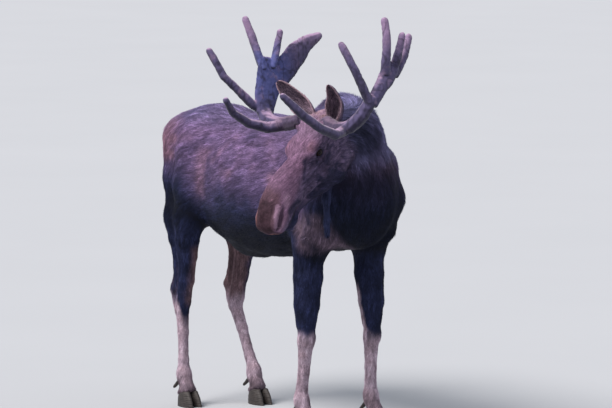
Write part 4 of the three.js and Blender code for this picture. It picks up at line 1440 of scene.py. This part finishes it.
def grow_coat(ground, rng):
    """The coat in pieces of under 200,000 triangles."""
    p, share = ground.p, ground.share
    h = to_head(p)
    x, z = p[:, 0], p[:, 2]
    ones = np.ones(len(p))
    legs = smooth(0.3, 0.7, leg_share(share)) * (1 - smooth(1000, 1120, z))
    head = smooth(0.35, 0.65, share["head"])
    long_hair = smooth(0.4, 0.7, np.maximum(share["bell"], share["tail"]))
    body = np.clip(1 - legs - head - long_hair, 0, 1)

    mane = smooth(0.3, 0.7, share["neck"]) * smooth(1480, 1600, z)
    mane = np.maximum(mane, smooth(1620, 1760, z) * smooth(280, 420, x) * (1 - head))
    length = 31 + 14 * mane + 8 * smooth(1050, 900, z) * smooth(-700, -200, x)
    for index, (low, high) in enumerate(zip(BODY_SLICES, BODY_SLICES[1:])):
        density = BODY_DENSITY * body * ((x >= low) & (x < high))
        make_tufts(f"coat_body_{index}", ground, density, length, 3.6 + 0.8 * mane, 10 + 7 * mane, rng)

    length = lerp(13, 22, smooth(500, 950, z)) + 5 * smooth(150, 110, z)
    width = 1.6 + 0.08 * length
    for word, here in (("hind", x < 0), ("fore", x >= 0)):
        density = lerp(LOW_LEG_DENSITY, HIGH_LEG_DENSITY, smooth(450, 900, z)) * legs * here
        make_tufts(f"coat_{word}_legs", ground, density, length, width, 14 * ones, rng, sink=0.3)

    bare = np.maximum(near_eye(h, 32), 1 - smooth(-2, 4, nostril(1)(one_side(h))))
    crown = smooth(100, 40, h[:, 0]) * smooth(-80, -20, h[:, 2])
    length = lerp(13, 7, smooth(250, 560, h[:, 0])) * lerp(1, 0.5, near_eye(h, 70)) + 12 * crown
    length *= lerp(1, 0.6, smooth(580, 640, h[:, 0]))
    for word, here in (("left", h[:, 1] > 0), ("right", h[:, 1] <= 0)):
        density = FACE_DENSITY * head * (1 - bare) * here
        make_tufts(
            f"coat_face_{word}", ground, density, length, 0.9 + 0.13 * length, 17 + 10 * crown, rng,
            contrast=0.55, grain=6, sink=0.3,
        )

    make_tufts(
        "coat_bell_and_tail", ground, LONG_DENSITY * long_hair, 34 * ones, 3.5 * ones, 12 * ones, rng,
        joints=2, droop=0.25,
    )


# ---------------- the making
SKIN_SHADE = 0.75  # the skin is darker than the tufts that grow on it

skin = make_skin()
ground = skin_ground(skin.data)
set_colours(skin.data, ground.colour * SKIN_SHADE)
set_unwrap(skin.data, unrolled(ground.p, ground.part))
placed(skin, skin_material(), "coat", *FLESH)
rng = np.random.default_rng(SEED)
for word, side in (("left", 1), ("right", -1)):
    make_antler(word, side)
    make_eyeball(word, side)
    make_ear(word, rng)
for name in [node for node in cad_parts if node.endswith("claw")]:
    make_claw(name)
grow_coat(ground, rng)


# ---------------- stage
SKY = (0.58, 0.61, 0.68)
SUN_FROM = (-0.02, -0.62, 0.80)
SUN_ENERGY = 4.3
SUN_WIDTH = math.radians(32)
SUN_COLOUR = (1.0, 0.94, 0.90)
FLOOR_REACH = 150


def make_stage():
    """A wide floor as bright as the sky over it, and one soft light from above the camera's left."""
    corners = [(FLOOR_REACH * x, FLOOR_REACH * y, 0) for x, y in ((-1, -1), (1, -1), (1, 1), (-1, 1))]
    floor = mesh_object("floor", corners, [(0, 1, 2, 3)])
    floor.data.materials.append(floor_material())
    world = bpy.data.worlds.new("world")
    bpy.context.scene.world = world
    world.use_nodes = True
    tuned(world.node_tree.nodes["Background"], Color=(*SKY, 1), Strength=1.0)
    data = bpy.data.lights.new("sun", "SUN")
    data.energy = SUN_ENERGY
    data.angle = SUN_WIDTH
    data.color = SUN_COLOUR
    sun = bpy.data.objects.new("sun", data)
    sun.rotation_mode = "QUATERNION"
    sun.rotation_quaternion = Vector(SUN_FROM).to_track_quat("Z", "Y")
    bpy.context.scene.collection.objects.link(sun)
    bpy.context.scene.view_settings.view_transform = "Standard"


make_stage()
